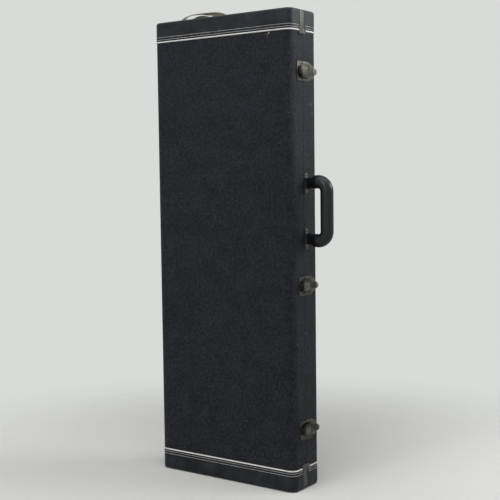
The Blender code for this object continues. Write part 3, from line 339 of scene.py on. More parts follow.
# The grain's islands are 2.6 mm across with creases 0.7 mm apart, as on the real cloth. Dust lies on their
# tops, and lint here and there. SCUFFS are rubbed spots: place, size in each direction and colour.
GRAIN_CELL = 0.0026
FINE_GRAIN = 0.0007
SCUFFS = (
    ((0.1316, FACE_Y, 0.9894), (0.0028, 0.004, 0.0026), "#e2dcc4"),
    ((0.1291, FACE_Y, 0.9832), (0.0016, 0.004, 0.0042), "#8d8358"),
    ((0.1252, FACE_Y, 0.9873), (0.0036, 0.004, 0.0013), "#8d8358"),
    ((0.1586, FACE_Y, 0.7565), (0.0030, 0.004, 0.0030), "#6c6860"),
    ((0.1869, 0.0270, 0.8412), (0.004, 0.0040, 0.0030), "#74726c"),
    ((0.1869, 0.0308, 0.8220), (0.004, 0.0028, 0.0040), "#6c6860"),
    ((0.1869, -0.0029, 0.3435), (0.004, 0.0030, 0.0024), "#77756e"),
    ((0.1869, -0.0353, 0.3230), (0.004, 0.0030, 0.0030), "#6c6860"),
)
covering_vinyl, tree, place = new_material("bark_grain_vinyl_cloth")
islands, bent = embossed(tree, place, GRAIN_CELL, 1.6, 0.32, Scale=0.7 / GRAIN_CELL, Detail=1.0)
fine = add_node(tree, "ShaderNodeTexNoise", Vector=bent, Scale=1 / FINE_GRAIN, Detail=3.0, Roughness=0.65)
height = add_node(
    tree, "ShaderNodeMath", operation="MULTIPLY_ADD", in0=fine.outputs["Fac"], in1=0.7, in2=islands
)
blotch = add_node(tree, "ShaderNodeTexNoise", Vector=place, Scale=26.0, Detail=5.0, Roughness=0.62)
speck = add_node(tree, "ShaderNodeTexNoise", Vector=place, Scale=150.0, Detail=5.0, Roughness=0.75)
dust = add_node(
    tree,
    "ShaderNodeMath",
    operation="MULTIPLY_ADD",
    in0=blotch.outputs["Fac"],
    in1=0.3,
    in2=speck.outputs["Fac"],
)
dust_share = add_node(tree, "ShaderNodeMapRange", Value=dust, From_Min=0.52, From_Max=0.86)
high_spots = add_node(tree, "ShaderNodeMath", operation="MULTIPLY", in0=dust_share, in1=height)
vinyl_colour = add_node(
    tree, "ShaderNodeMix", data_type="RGBA", Factor=high_spots, in6=linear("#0a0b0e"), in7=linear("#3b3d46")
)
lint = add_node(tree, "ShaderNodeTexVoronoi", Vector=place, Scale=34.0, Randomness=1.0)
lint_share = add_node(
    tree, "ShaderNodeMapRange", Value=lint.outputs["Distance"], From_Min=0.034, From_Max=0.014
)
lint_colour = add_node(
    tree,
    "ShaderNodeMix",
    data_type="RGBA",
    Factor=lint_share,
    in6=vinyl_colour.outputs[2],
    in7=linear("#55534f"),
)
rubbed_colour = lint_colour.outputs[2]
for centre, size, scuff_hex in SCUFFS:
    offset = add_node(tree, "ShaderNodeVectorMath", operation="SUBTRACT", in0=place, in1=centre)
    scaled = add_node(tree, "ShaderNodeVectorMath", operation="DIVIDE", in0=offset, in1=size)
    away = add_node(tree, "ShaderNodeVectorMath", operation="LENGTH", in0=scaled)
    ragged = add_node(
        tree, "ShaderNodeMath", operation="MULTIPLY_ADD", in0=height, in1=0.9, in2=away.outputs["Value"]
    )
    scuffed = add_node(tree, "ShaderNodeMapRange", Value=ragged, From_Min=1.5, From_Max=0.7, To_Max=0.8)
    rubbed_colour = add_node(
        tree, "ShaderNodeMix", data_type="RGBA", Factor=scuffed, in6=rubbed_colour, in7=linear(scuff_hex)
    ).outputs[2]
relief = add_node(tree, "ShaderNodeBump", Height=height, Strength=0.9, Distance=0.0005)
shader = add_node(
    tree,
    "ShaderNodeBsdfPrincipled",
    Base_Color=rubbed_colour,
    Roughness=0.6,
    IOR=1.46,
    Specular_IOR_Level=0.2,
    Normal=relief,
)
add_node(tree, "ShaderNodeOutputMaterial", Surface=shader)

COVERING = 0.0012
COVERING_SLACK = 0.0002
for half, (face_y, outward) in HALVES.items():
    low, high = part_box(f"{half}_covering")
    inset = HALF_WIDTH - high.x
    edge_y = SEAM_Y + outward * SEAM_GAP
    bm = tray(high.x, face_y - outward * inset, edge_y, low.z, high.z, LONG_RADIUS - inset)
    for vert in bm.verts:
        swell = 0.5 + 0.5 * noise.noise(vert.co * 9) + 0.25 * noise.noise(vert.co * 31)
        vert.co -= vert.normal * COVERING_SLACK * max(swell, 0)
    covering = walled(in_scene(f"{half}_vinyl_covering", bm, covering_vinyl), COVERING)
    placed_on(covering, half, "covering_vinyl", f"{half}_covering")


# End covers: smoother black vinyl with a fine leather grain, drawn round each end over a hard former. Their
# long edge is folded in against the piping, and two rows of stitching pull it slightly down. They have a soft
# sheen, and patches that hands and floors have rubbed paler and duller.
END_COVER = 0.0018
END_RADIUS = 0.0058
STITCH_ROWS = (0.0054, 0.0108)
THREAD_PULL, PULL_REACH = 0.00035, 0.0011
END_COVER_SLACK = 0.00012
LEATHER_CELL = 0.0013


def patches(tree, place, tones, limits, **settings):
    """Two tones in cloudy patches: the colour, the clouds, and the second tone's share of the colour.

    The share rises from nothing to all while the clouds go from one limit to the other.
    """
    clouds = add_node(tree, "ShaderNodeTexNoise", Vector=place, **settings).outputs["Fac"]
    share = add_node(tree, "ShaderNodeMapRange", Value=clouds, From_Min=limits[0], From_Max=limits[1])
    first, second = [linear(tone) for tone in tones]
    mixed = add_node(tree, "ShaderNodeMix", data_type="RGBA", Factor=share, in6=first, in7=second)
    return mixed.outputs[2], clouds, share


end_vinyl, tree, place = new_material("leather_grain_moulded_vinyl")
islands, _ = embossed(tree, place, LEATHER_CELL, 1, 0.24, Scale=240.0, Detail=2.0)
end_colour, rubbed, _ = patches(
    tree, place, ("#111419", "#2a2e34"), (0.42, 0.72), Scale=30.0, Detail=6.0, Roughness=0.6
)
end_gloss = add_node(
    tree, "ShaderNodeMapRange", Value=rubbed, From_Min=0.3, From_Max=0.7, To_Min=0.34, To_Max=0.5
)
relief = add_node(tree, "ShaderNodeBump", Height=islands, Strength=0.4, Distance=0.00018)
shader = add_node(
    tree,
    "ShaderNodeBsdfPrincipled",
    Base_Color=end_colour,
    Roughness=end_gloss,
    IOR=1.48,
    Specular_IOR_Level=0.24,
    Normal=relief,
)
add_node(tree, "ShaderNodeOutputMaterial", Surface=shader)

PIPING_Z = {}
for end in ("bottom", "top"):
    low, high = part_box(f"lid_piping_{end}")
    PIPING_Z[end] = (low.z + high.z) / 2
END_WAY = {"bottom": -1, "top": 1}


def row_heights(end):
    """The heights of both rows of stitches at one end."""
    return [PIPING_Z[end] + END_WAY[end] * offset for offset in STITCH_ROWS]


for half, (face_y, outward) in HALVES.items():
    for end, way in END_WAY.items():
        node = f"{half}_end_cover_{end}"
        low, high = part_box(node)
        edge_y = high.y if outward < 0 else low.y
        closed = ("low",) if end == "bottom" else ("high",)
        rows = row_heights(end)
        bm = tray(HALF_WIDTH, face_y, edge_y, low.z, high.z, LONG_RADIUS, END_RADIUS, closed, 0.004, rows)
        for vert in bm.verts:
            nearest = min(abs(vert.co.z - row) for row in rows)
            drawn = THREAD_PULL * math.exp(-((nearest / PULL_REACH) ** 2))
            swell = max(0.5 + noise.noise(vert.co * 14) + 0.4 * noise.noise(vert.co * 60), 0)
            vert.co -= vert.normal * (drawn + END_COVER_SLACK * swell)
        cover = walled(in_scene(f"{half}_end_vinyl_{end}", bm, end_vinyl), END_COVER, edge_radius=0.0007)
        placed_on(cover, half, "end_vinyl", node)


# Stitching: two rows of thick light-grey polyester thread beside each piping, sewn through the end cover's
# folded edge. They run from clip to clip, and each stitch stands up a little from its hole.
def node_tree(name, **inputs):
    """An empty Geometry Nodes tree with a geometry input and named inputs, and its group input node."""
    tree = bpy.data.node_groups.new(name, "GeometryNodeTree")
    tree.interface.new_socket("Geometry", in_out="OUTPUT", socket_type="NodeSocketGeometry")
    tree.interface.new_socket("Geometry", in_out="INPUT", socket_type="NodeSocketGeometry")
    for label, kind in inputs.items():
        tree.interface.new_socket(label.replace("_", " "), in_out="INPUT", socket_type=f"NodeSocket{kind}")
    return tree, add_node(tree, "NodeGroupInput")


def close_tree(tree, geometry, material):
    """Ends a tree in plain geometry with its material."""
    real = add_node(tree, "GeometryNodeRealizeInstances", Geometry=geometry)
    painted = add_node(tree, "GeometryNodeSetMaterial", Geometry=real, Material=material)
    add_node(tree, "NodeGroupOutput", Geometry=painted)


def grown(name, bm, tree, **inputs):
    """The plain mesh that a tree makes from a bmesh, with its inputs set by their sockets' identifiers."""
    mesh = bpy.data.meshes.new(name)
    bm.to_mesh(mesh)
    bm.free()
    obj = bpy.data.objects.new(name, mesh)
    bpy.context.scene.collection.objects.link(obj)
    modifier = obj.modifiers.new("nodes", "NODES")
    modifier.node_group = tree
    for item in tree.interface.items_tree:
        key = item.name.replace(" ", "_")
        if item.in_out == "INPUT" and key in inputs:
            modifier[item.identifier] = inputs[key]
    return settled(obj)


def lines(paths):
    """The paths as loose edges."""
    bm = bmesh.new()
    for points in paths:
        verts = [bm.verts.new(point) for point in points]
        for pair in zip(verts, verts[1:]):
            bm.edges.new(pair)
    return bm


def around_half(half, end, z, inset):
    """The path round one half at one height, from clip to clip."""
    face_y, outward = HALVES[half]
    low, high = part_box(f"{half}_piping_{end}")
    stop_y = high.y if outward < 0 else low.y
    plan = half_section(HALF_WIDTH, face_y, stop_y, LONG_RADIUS, inset, 4, 10, 24)
    return [(x, y, z) for x, y in plan]


# The thread is matt and soiled in patches, and its strands, 0.7 mm apart, break up the light.
THREAD_RADIUS = 0.0006
STITCH_LENGTH = 0.0040
STITCH_PITCH = 0.0042
STITCH_SINK = 0.0002
thread, tree, place = new_material("twisted_polyester_thread")
soiled, _, _ = patches(tree, place, ("#d8d5d2", "#9d9a98"), (0.35, 0.7), Scale=55.0, Detail=4.0)
twist = add_node(
    tree, "ShaderNodeTexWave", bands_direction="DIAGONAL", Vector=place, Scale=900.0, Distortion=2.0
)
relief = add_node(tree, "ShaderNodeBump", Height=twist.outputs["Fac"], Strength=0.4, Distance=0.0001)
shader = add_node(
    tree,
    "ShaderNodeBsdfPrincipled",
    Base_Color=soiled,
    Roughness=0.7,
    Sheen_Weight=0.25,
    Normal=relief,
)
add_node(tree, "ShaderNodeOutputMaterial", Surface=shader)

stitch_tree, group = node_tree(
    "sewn_stitches",
    Thread_radius="Float",
    Stitch_length="Float",
    Pitch="Float",
    Looseness="Float",
    Seed="Int",
)
curve = add_node(stitch_tree, "GeometryNodeMeshToCurve", Mesh=group.outputs["Geometry"])
spaced = add_node(
    stitch_tree, "GeometryNodeResampleCurve", mode="LENGTH", Curve=curve, Length=group.outputs["Pitch"]
)
tangent = add_node(stitch_tree, "GeometryNodeInputTangent")
along = add_node(stitch_tree, "FunctionNodeAlignRotationToVector", axis="Z", Vector=tangent)
tilt_low = add_node(
    stitch_tree, "ShaderNodeMath", operation="MULTIPLY", in0=group.outputs["Looseness"], in1=-1.0
)
tilt = add_node(
    stitch_tree,
    "FunctionNodeRandomValue",
    data_type="FLOAT",
    in2=tilt_low,
    in3=group.outputs["Looseness"],
    Seed=group.outputs["Seed"],
)
tilt_angle = add_node(stitch_tree, "ShaderNodeCombineXYZ", X=tilt.outputs[1], Y=tilt.outputs[1])
turned = add_node(
    stitch_tree, "FunctionNodeRotateRotation", rotation_space="LOCAL", in0=along, in1=tilt_angle
)
half_length = add_node(
    stitch_tree, "ShaderNodeMath", operation="MULTIPLY", in0=group.outputs["Stitch length"], in1=0.5
)
stitch_size = add_node(
    stitch_tree,
    "ShaderNodeCombineXYZ",
    X=group.outputs["Thread radius"],
    Y=group.outputs["Thread radius"],
    Z=half_length,
)
grain_of_thread = add_node(stitch_tree, "GeometryNodeMeshUVSphere", Segments=6, Rings=6, Radius=1.0)
stitches = add_node(
    stitch_tree,
    "GeometryNodeInstanceOnPoints",
    Points=spaced,
    Instance=grain_of_thread.outputs["Mesh"],
    Rotation=turned,
    Scale=stitch_size,
)
close_tree(stitch_tree, stitches, thread)

for half in HALVES:
    paths = [around_half(half, end, z, STITCH_SINK) for end in END_WAY for z in row_heights(end)]
    sewn = grown(
        f"{half}_stitching",
        lines(paths),
        stitch_tree,
        Thread_radius=THREAD_RADIUS,
        Stitch_length=STITCH_LENGTH,
        Pitch=STITCH_PITCH,
        Looseness=0.06,
        Seed=3,
    )
    placed_on(sewn, half, "piping_vinyl")


# Piping: a white vinyl tube on a cord, laid in the joint between the covering and each end cover. It is
# half-glossy, greyed by dirt in places, and its thickness wanders a little where the cord was pulled.
PIPING_RADIUS = 0.0015
PIPING_SINK = 0.00035
PIPING_STEP = 0.0022
piping_vinyl, tree, place = new_material("white_extruded_vinyl_piping")
greyed, dirt, _ = patches(
    tree, place, ("#f6f5f1", "#bdbab2"), (0.5, 0.8), Scale=38.0, Detail=6.0, Roughness=0.7
)
relief = add_node(tree, "ShaderNodeBump", Height=dirt, Strength=0.15, Distance=0.0002)
shader = add_node(
    tree, "ShaderNodeBsdfPrincipled", Base_Color=greyed, Roughness=0.42, IOR=1.5, Normal=relief
)
add_node(tree, "ShaderNodeOutputMaterial", Surface=shader)

piping_tree, group = node_tree("corded_piping", Radius="Float", Wander="Float")
curve = add_node(piping_tree, "GeometryNodeMeshToCurve", Mesh=group.outputs["Geometry"])
spaced = add_node(piping_tree, "GeometryNodeResampleCurve", mode="LENGTH", Curve=curve, Length=PIPING_STEP)
uneven = add_node(piping_tree, "ShaderNodeTexNoise", Scale=70.0, Detail=2.0)
wander = group.outputs["Wander"]
swing = add_node(piping_tree, "ShaderNodeMath", operation="MULTIPLY", in0=uneven.outputs["Fac"], in1=wander)
share = add_node(piping_tree, "ShaderNodeMath", operation="SUBTRACT", in0=1.0, in1=swing)
thinned = add_node(piping_tree, "GeometryNodeSetCurveRadius", Curve=spaced, Radius=share)
round_profile = add_node(
    piping_tree,
    "GeometryNodeCurvePrimitiveCircle",
    mode="RADIUS",
    Resolution=14,
    Radius=group.outputs["Radius"],
)
tube = add_node(
    piping_tree, "GeometryNodeCurveToMesh", Curve=thinned, Profile_Curve=round_profile, Fill_Caps=True
)
close_tree(piping_tree, tube, piping_vinyl)
for half in HALVES:
    paths = [around_half(half, end, PIPING_Z[end], PIPING_SINK) for end in END_WAY]
    piping = grown(f"{half}_white_piping", lines(paths), piping_tree, Radius=PIPING_RADIUS, Wander=0.14)
    placed_on(piping, half, "piping_vinyl", *[f"{half}_piping_{end}" for end in END_WAY])


# End trim: drawn aluminium strip pressed over the seam at both ends, gone grey and dull. A wider clip with
# cut corners covers each end of the strip, and the ends of the piping and of the stitching with it.
def rounded(points, radius, steps=6):
    """The open 2-D path with its inner corners rounded. A radius is one for all, or one for each corner."""
    radii = [radius] * (len(points) - 2) if isinstance(radius, (int, float)) else radius
    path = [Vector(points[0])]
    for before, corner, after, bend in zip(points, points[1:], points[2:], radii):
        corner = Vector(corner)
        back = (Vector(before) - corner).normalized()
        on = (Vector(after) - corner).normalized()
        half_angle = back.angle(on) / 2
        if bend == 0 or half_angle > math.radians(89):
            path.append(corner)
            continue
        centre = corner + (back + on).normalized() * bend / math.sin(half_angle)
        start = corner + back * bend / math.tan(half_angle) - centre
        stop = corner + on * bend / math.tan(half_angle) - centre
        sweep = start.angle(stop)
        for i in range(steps + 1):
            a, b = math.sin(sweep * (1 - i / steps)), math.sin(sweep * i / steps)
            path.append(centre + (start * a + stop * b) / math.sin(sweep))
    path.append(Vector(points[-1]))
    return path


def closed_rounded(points, radius, steps=6):
    """The closed 2-D outline with its corners rounded."""
    radii = [radius] * len(points) if isinstance(radius, (int, float)) else radius
    ring = [points[-1], *points, points[0]]
    return rounded(ring, radii, steps)[1:-1]


def rectangle(u, v, far_u, far_v):
    """The corners of a rectangle between two opposite ones."""
    return [(u, v), (far_u, v), (far_u, far_v), (u, far_v)]


def capped(bm, rings):
    """Adds a tube through the rings of vertices, closed at both ends."""
    skinned(bm, rings, closed=True)
    bm.faces.new(rings[0])
    bm.faces.new(rings[-1])


def swept(bm, path, section, lift):
    """Adds a closed section carried along a path. It lies along each step's normal, and along lift."""
    path = [Vector(point) for point in path]
    lift = Vector(lift)
    rings = []
    for i, point in enumerate(path):
        step = path[min(i + 1, len(path) - 1)] - path[max(i - 1, 0)]
        normal = step.normalized().cross(lift)
        rings.append([bm.verts.new(point + normal * a + lift * b) for a, b in section])
    capped(bm, rings)


SHARP = math.radians(50)


def prism(bm, outline, low, high, plane, edge_radius, segments=2):
    """Adds an outline pushed from low to high, with rounded rims. The plane turns u, v, w into a place."""
    lower = [bm.verts.new(plane(u, v, low)) for u, v in outline]
    upper = [bm.verts.new(plane(u, v, high)) for u, v in outline]
    faces = [bm.faces.new(lower), bm.faces.new(upper)]
    for i in range(len(outline)):
        j = (i + 1) % len(outline)
        faces.append(bm.faces.new((lower[i], lower[j], upper[j], upper[i])))
    bmesh.ops.recalc_face_normals(bm, faces=faces)
    rim = [edge for face in faces[:2] for edge in face.edges]
    sharp = [edge for face in faces for edge in face.edges if edge.calc_face_angle(0) > SHARP]
    bmesh.ops.bevel(
        bm,
        geom=list(dict.fromkeys(rim + sharp)),
        offset=edge_radius,
        segments=segments,
        profile=0.5,
        affect="EDGES",
        clamp_overlap=True,
    )


def finished(name, bm, material, body, slot, *nodes, smooth_angle=30):
    """The piece made of closed solids, with its faces turned outwards, on its body."""
    bmesh.ops.recalc_face_normals(bm, faces=bm.faces)
    return placed_on(settled(in_scene(name, bm, material), smooth_angle), body, slot, *nodes)


# The strip's drawing lines, 0.4 mm apart, spread its shine along it. Oxide dulls it in patches, and it is
# darker beside the upper clips.
TRIM_WIDTH = 0.0075
TRIM_THICKNESS = 0.0016
CLIP_WIDTH = 0.014
CLIP_LENGTH = 0.010
CLIP_THICKNESS = 0.0010
CLIP_CUT = (0.0038, 0.0034)
GAP = 0.0003
CLIP_DARK_NEAR, CLIP_DARK_FAR = 0.006, 0.032
trim_metal, tree, place = new_material("drawn_aluminium_weathered")
drawn_lines = add_node(tree, "ShaderNodeMapping", Vector=place, Scale=(60.0, 2600.0, 60.0))
streaks = add_node(tree, "ShaderNodeTexNoise", Vector=drawn_lines, Scale=1.0, Detail=3.0)
oxidised, _, _ = patches(
    tree, place, ("#626560", "#454843"), (0.4, 0.66), Scale=120.0, Detail=6.0, Roughness=0.7
)
# The strip and its clips are darker near the upper piping, fading out 32 mm away.
height = add_node(tree, "ShaderNodeSeparateXYZ", Vector=place).outputs["Z"]
above_clip = add_node(tree, "ShaderNodeMath", operation="SUBTRACT", in0=height, in1=PIPING_Z["top"])
from_clip = add_node(tree, "ShaderNodeMath", operation="ABSOLUTE", in0=above_clip)
clip_darkening = add_node(
    tree,
    "ShaderNodeMapRange",
    Value=from_clip,
    From_Min=CLIP_DARK_NEAR,
    From_Max=CLIP_DARK_FAR,
    To_Min=0.5,
    To_Max=0,
)
trim_colour = add_node(
    tree, "ShaderNodeMix", data_type="RGBA", Factor=clip_darkening, in6=oxidised, in7=linear("#30302e")
)
trim_gloss = add_node(tree, "ShaderNodeMapRange", Value=streaks.outputs["Fac"], To_Min=0.48, To_Max=0.66)
relief = add_node(tree, "ShaderNodeBump", Height=streaks.outputs["Fac"], Strength=0.2, Distance=0.00006)
shader = add_node(
    tree,
    "ShaderNodeBsdfPrincipled",
    Base_Color=trim_colour.outputs[2],
    Metallic=0.85,
    Roughness=trim_gloss,
    Normal=relief,
)
add_node(tree, "ShaderNodeOutputMaterial", Surface=shader)

STRIP_SECTION = closed_rounded(
    [(-TRIM_THICKNESS, 0.0002), (-0.0003, 0.0002), (0, 0.0016), (-0.0001, TRIM_WIDTH - 0.0012),
     (-0.0006, TRIM_WIDTH), (-TRIM_THICKNESS, TRIM_WIDTH)],
    (0.0002, 0.0003, 0.0008, 0.0008, 0.0003, 0.0002),
    4,
)
CLIP_OUTLINE = closed_rounded(
    [(0, 0), (CLIP_WIDTH, 0), (CLIP_WIDTH, CLIP_LENGTH - CLIP_CUT[1]),
     (CLIP_WIDTH - CLIP_CUT[0], CLIP_LENGTH), (0, CLIP_LENGTH)],
    (0.0005, 0.0010, 0.0012, 0.0012, 0.0005),
    4,
)
CLIP_START = 0.002
CLIP_SINK = 0.0008
for half, (face_y, outward) in HALVES.items():
    near_y = SEAM_Y + outward * SEAM_GAP
    for end, way in END_WAY.items():
        bm = bmesh.new()
        end_z = LENGTH if end == "top" else 0
        stop_z = PIPING_Z[end] - way * PIPING_RADIUS
        corners = [(-HALF_WIDTH, stop_z), (-HALF_WIDTH, end_z), (HALF_WIDTH, end_z), (HALF_WIDTH, stop_z)]
        path = [(x, near_y, z) for x, z in rounded(corners, END_RADIUS, 8)]
        section = [(way * a, outward * b) for a, b in STRIP_SECTION]
        swept(bm, path, section, (0, 1, 0))
        clip_z = PIPING_Z[end] + way * CLIP_START
        for side in (-1, 1):
            prism(
                bm,
                CLIP_OUTLINE,
                HALF_WIDTH - CLIP_SINK,
                HALF_WIDTH + GAP + CLIP_THICKNESS,
                lambda u, v, w: (side * w, near_y + outward * u, clip_z - way * v),
                0.0004,
                3,
            )
        name = f"{half}_aluminium_trim_{end}"
        finished(name, bm, trim_metal, half, "trim_metal", f"{half}_end_trim_{end}")


# Fasteners: domed tubular rivets of bronze-plated steel hold the latches, hinges and strap plates, and
# zinc-plated oval-head screws hold the handle's brackets. Their heads stand proud of the plates.
def metal(name, bright, dark, smooth, rough, patch, outer=None):
    """A plated metal in two tones: dull dark patches of a size, between brighter and smoother ones.

    outer is a colour, a direction and the two distances that way between which the metal turns to it.
    """
    material, tree, place = new_material(name)
    colour, _, worn = patches(
        tree, place, (dark, bright), (0.4, 0.62), Scale=1 / patch, Detail=8.0, Roughness=0.68
    )
    if outer:
        outer_hex, direction, near, far = outer
        out = add_node(tree, "ShaderNodeVectorMath", operation="DOT_PRODUCT", in0=place, in1=direction)
        outer_share = add_node(
            tree, "ShaderNodeMapRange", Value=out.outputs["Value"], From_Min=near, From_Max=far, To_Max=0.9
        )
        colour = add_node(
            tree, "ShaderNodeMix", data_type="RGBA", Factor=outer_share, in6=colour, in7=linear(outer_hex)
        ).outputs[2]
    gloss = add_node(tree, "ShaderNodeMapRange", Value=worn, To_Min=rough, To_Max=smooth)
    pits = add_node(tree, "ShaderNodeTexNoise", Vector=place, Scale=5 / patch, Detail=4.0)
    relief = add_node(tree, "ShaderNodeBump", Height=pits.outputs["Fac"], Strength=0.25, Distance=0.0001)
    shader = add_node(
        tree, "ShaderNodeBsdfPrincipled", Base_Color=colour, Metallic=1.0, Roughness=gloss, Normal=relief
    )
    add_node(tree, "ShaderNodeOutputMaterial", Surface=shader)
    return material


# Bronze plating on the latches is dull and brownish grey. Thumbs have rubbed the tab bright: it lies furthest
# out and furthest back. The upper tabs are painted paler still, as painted light from above. A hasp is
# darker with grease, but for its raised pad, which is painted darker on lower latches as painted shade.
# Rivet heads show no glint.
SIDE_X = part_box("base_covering")[1].x
TAB_START = 3 * SIDE_X + SEAM_Y + 0.0745
# The tab is pale where thumbs wore it, and painted paler on the upper latches as painted light from above.
thumb_wear_and_top_light = ("#918f89", (3, 1, 0.025), TAB_START, TAB_START + 0.005)
latch_metal = metal("antique_bronze_plated_steel", "#585752", "#454440", 0.36, 0.5, 0.006, thumb_wear_and_top_light)
# The pad is pale where it stands out, and painted darker on the lower latches as painted shade.
pad_wear_and_top_light = ("#5c5b56", (1, 0, 0.002), SIDE_X + 0.0105, SIDE_X + 0.0115)
hasp_metal = metal("antique_bronze_plated_hasp", "#403f3b", "#302f2c", 0.34, 0.48, 0.006, pad_wear_and_top_light)
rivet_metal = metal("antique_bronze_plated_rivets", "#5a5853", "#44423e", 0.48, 0.6, 0.004)
# Nickel on the hinges, feet and strap plates is paler and smoother. Zinc on the handle's brackets is dull,
# and nearly black on the ears, where the handle turns.
hinge_metal = metal("dull_nickel_plated_steel", "#98958c", "#6f6c64", 0.32, 0.46, 0.008)
# The ears are nearly black.
dark_ears = ("#1b1b1c", (1, 0, 0), SIDE_X + 0.0024, SIDE_X + 0.0032)
bracket_metal = metal("worn_zinc_plated_steel", "#62615d", "#474642", 0.42, 0.5, 0.005, dark_ears)

head_tree, group = node_tree("domed_heads", Radius="Float", Rise="Float", Material="Material")
facing = add_node(head_tree, "GeometryNodeInputNamedAttribute", data_type="FLOAT_VECTOR", Name="facing")
turned = add_node(
    head_tree, "FunctionNodeAlignRotationToVector", axis="Z", Vector=facing.outputs["Attribute"]
)
ball = add_node(head_tree, "GeometryNodeMeshUVSphere", Segments=20, Rings=10, Radius=1.0)
head_size = add_node(
    head_tree,
    "ShaderNodeCombineXYZ",
    X=group.outputs["Radius"],
    Y=group.outputs["Radius"],
    Z=group.outputs["Rise"],
)
heads = add_node(
    head_tree,
    "GeometryNodeInstanceOnPoints",
    Points=group.outputs["Geometry"],
    Instance=ball.outputs["Mesh"],
    Rotation=turned,
    Scale=head_size,
)
close_tree(head_tree, heads, group.outputs["Material"])


def heads_at(name, places, radius, rise, material):
    """Domed heads at places given with the direction that each faces."""
    bm = bmesh.new()
    facing_layer = bm.verts.layers.float_vector.new("facing")
    for place, direction in places:
        bm.verts.new(place)[facing_layer] = direction
    return grown(name, bm, head_tree, Radius=radius, Rise=rise, Material=material)


RIVET_RADIUS = 0.0022
RIVET_RISE = 0.0011
PLATE = 0.0012
PLATE_TOP = GAP + PLATE


def on_side(height, side=1):
    """Places on a side wall near a height: flat on the wall, and in plan.

    The first takes the distance from the seam, the height and the distance out. The second takes the distance
    out, from the seam and up, and serves for outlines seen from above and for single places.
    """

    def plan(out, across, up):
        return Vector((side * (SIDE_X + out), SEAM_Y + across, height + up))

    return lambda across, up, out: plan(out, across, up), plan


def rod(bm, start, end, radius, sides=16, edge_radius=0.0002):
    """Adds a round bar between two places, with its rims rounded."""
    axis = (end - start).normalized()
    across = axis.orthogonal().normalized()
    other = axis.cross(across)
    turns = [2 * math.pi * i / sides for i in range(sides)]
    outline = [(radius * math.cos(turn), radius * math.sin(turn)) for turn in turns]
    length = (end - start).length
    prism(bm, outline, 0, length, lambda u, v, w: start + across * u + other * v + axis * w, edge_radius)


# Hinges: three butt hinges on the far side, each with two stamped steel leaves, five rolled knuckles and a
# pin with peened ends. Four rivets hold each hinge.
HINGE_OUT = abs(frame["joints"][0]["pos_m"][0]) - SIDE_X
KNUCKLE_RADIUS = 0.0030
KNUCKLES = 5
KNUCKLE_GAP = 0.0004
HINGE_LEAF = 0.0180
HINGE_RIVET_ACROSS, HINGE_RIVET_UP = 0.0115, 0.0145
HINGE_PIN_RADIUS, HINGE_PIN_PROUD = 0.0013, 0.0013
PEENED_RADIUS, PEENED_LENGTH = 0.0022, 0.001
rivet_places = {"lid": [], "base": []}
for number in (1, 2, 3):
    low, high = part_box(f"hinge_base_leaf_{number}")
    half_length = (high.z - low.z) / 2
    wall, plan = on_side((low.z + high.z) / 2, -1)
    pitch = (2 * half_length + KNUCKLE_GAP) / KNUCKLES
    near = KNUCKLE_RADIUS + KNUCKLE_GAP
    for half, (_, outward) in HALVES.items():
        bm = bmesh.new()
        leaf = closed_rounded(
            rectangle(outward * near, half_length, outward * HINGE_LEAF, -half_length),
            (0.0003, 0.003, 0.003, 0.0003),
        )
        prism(bm, leaf, GAP, PLATE_TOP, wall, 0.0003, 3)
        for knuckle in range(0 if half == "base" else 1, KNUCKLES, 2):
            bottom = -half_length + knuckle * pitch
            top = bottom + pitch - KNUCKLE_GAP
            finger = rectangle(0, bottom, outward * (near + 0.001), top)
            prism(bm, finger, GAP, PLATE_TOP, wall, 0.00015)
            rod(bm, plan(HINGE_OUT, 0, bottom), plan(HINGE_OUT, 0, top), KNUCKLE_RADIUS, 28, 0.0003)
        for up in (-HINGE_RIVET_UP, HINGE_RIVET_UP):
            rivet_places[half].append((plan(PLATE_TOP, outward * HINGE_RIVET_ACROSS, up), (-1, 0, 0)))
        name = f"hinge_leaf_{half}_{number}"
        finished(name, bm, hinge_metal, half, "hinge_metal", f"hinge_{half}_leaf_{number}")
    bm = bmesh.new()
    reach = half_length + HINGE_PIN_PROUD
    rod(bm, plan(HINGE_OUT, 0, -reach), plan(HINGE_OUT, 0, reach), HINGE_PIN_RADIUS)
    for end in (-1, 1):
        start = plan(HINGE_OUT, 0, end * (half_length + GAP))
        stop = plan(HINGE_OUT, 0, end * (half_length + GAP + PEENED_LENGTH))
        rod(bm, start, stop, PEENED_RADIUS, 20, 0.0004)
    name = f"hinge_peened_pin_{number}"
    finished(name, bm, hinge_metal, "base", "hinge_metal", f"hinge_pin_{number}")


# Draw latches: three bronze-plated steel latches. Each has a catch plate on the lid, a base plate with two
# ears, a lever with a round thumb tab, and a hasp whose round tip hooks over the rib on the catch plate.
def mirrored(outline):
    """The outline and its mirror image below the middle."""
    return [*outline, *[(u, -v) for u, v in reversed(outline)]]


def arc(centre, radius, start, end, steps=12):
    """Points on an arc between two angles in degrees."""
    turn = [math.radians(start + (end - start) * i / steps) for i in range(steps + 1)]
    return [(centre[0] + radius * math.cos(t), centre[1] + radius * math.sin(t)) for t in turn]


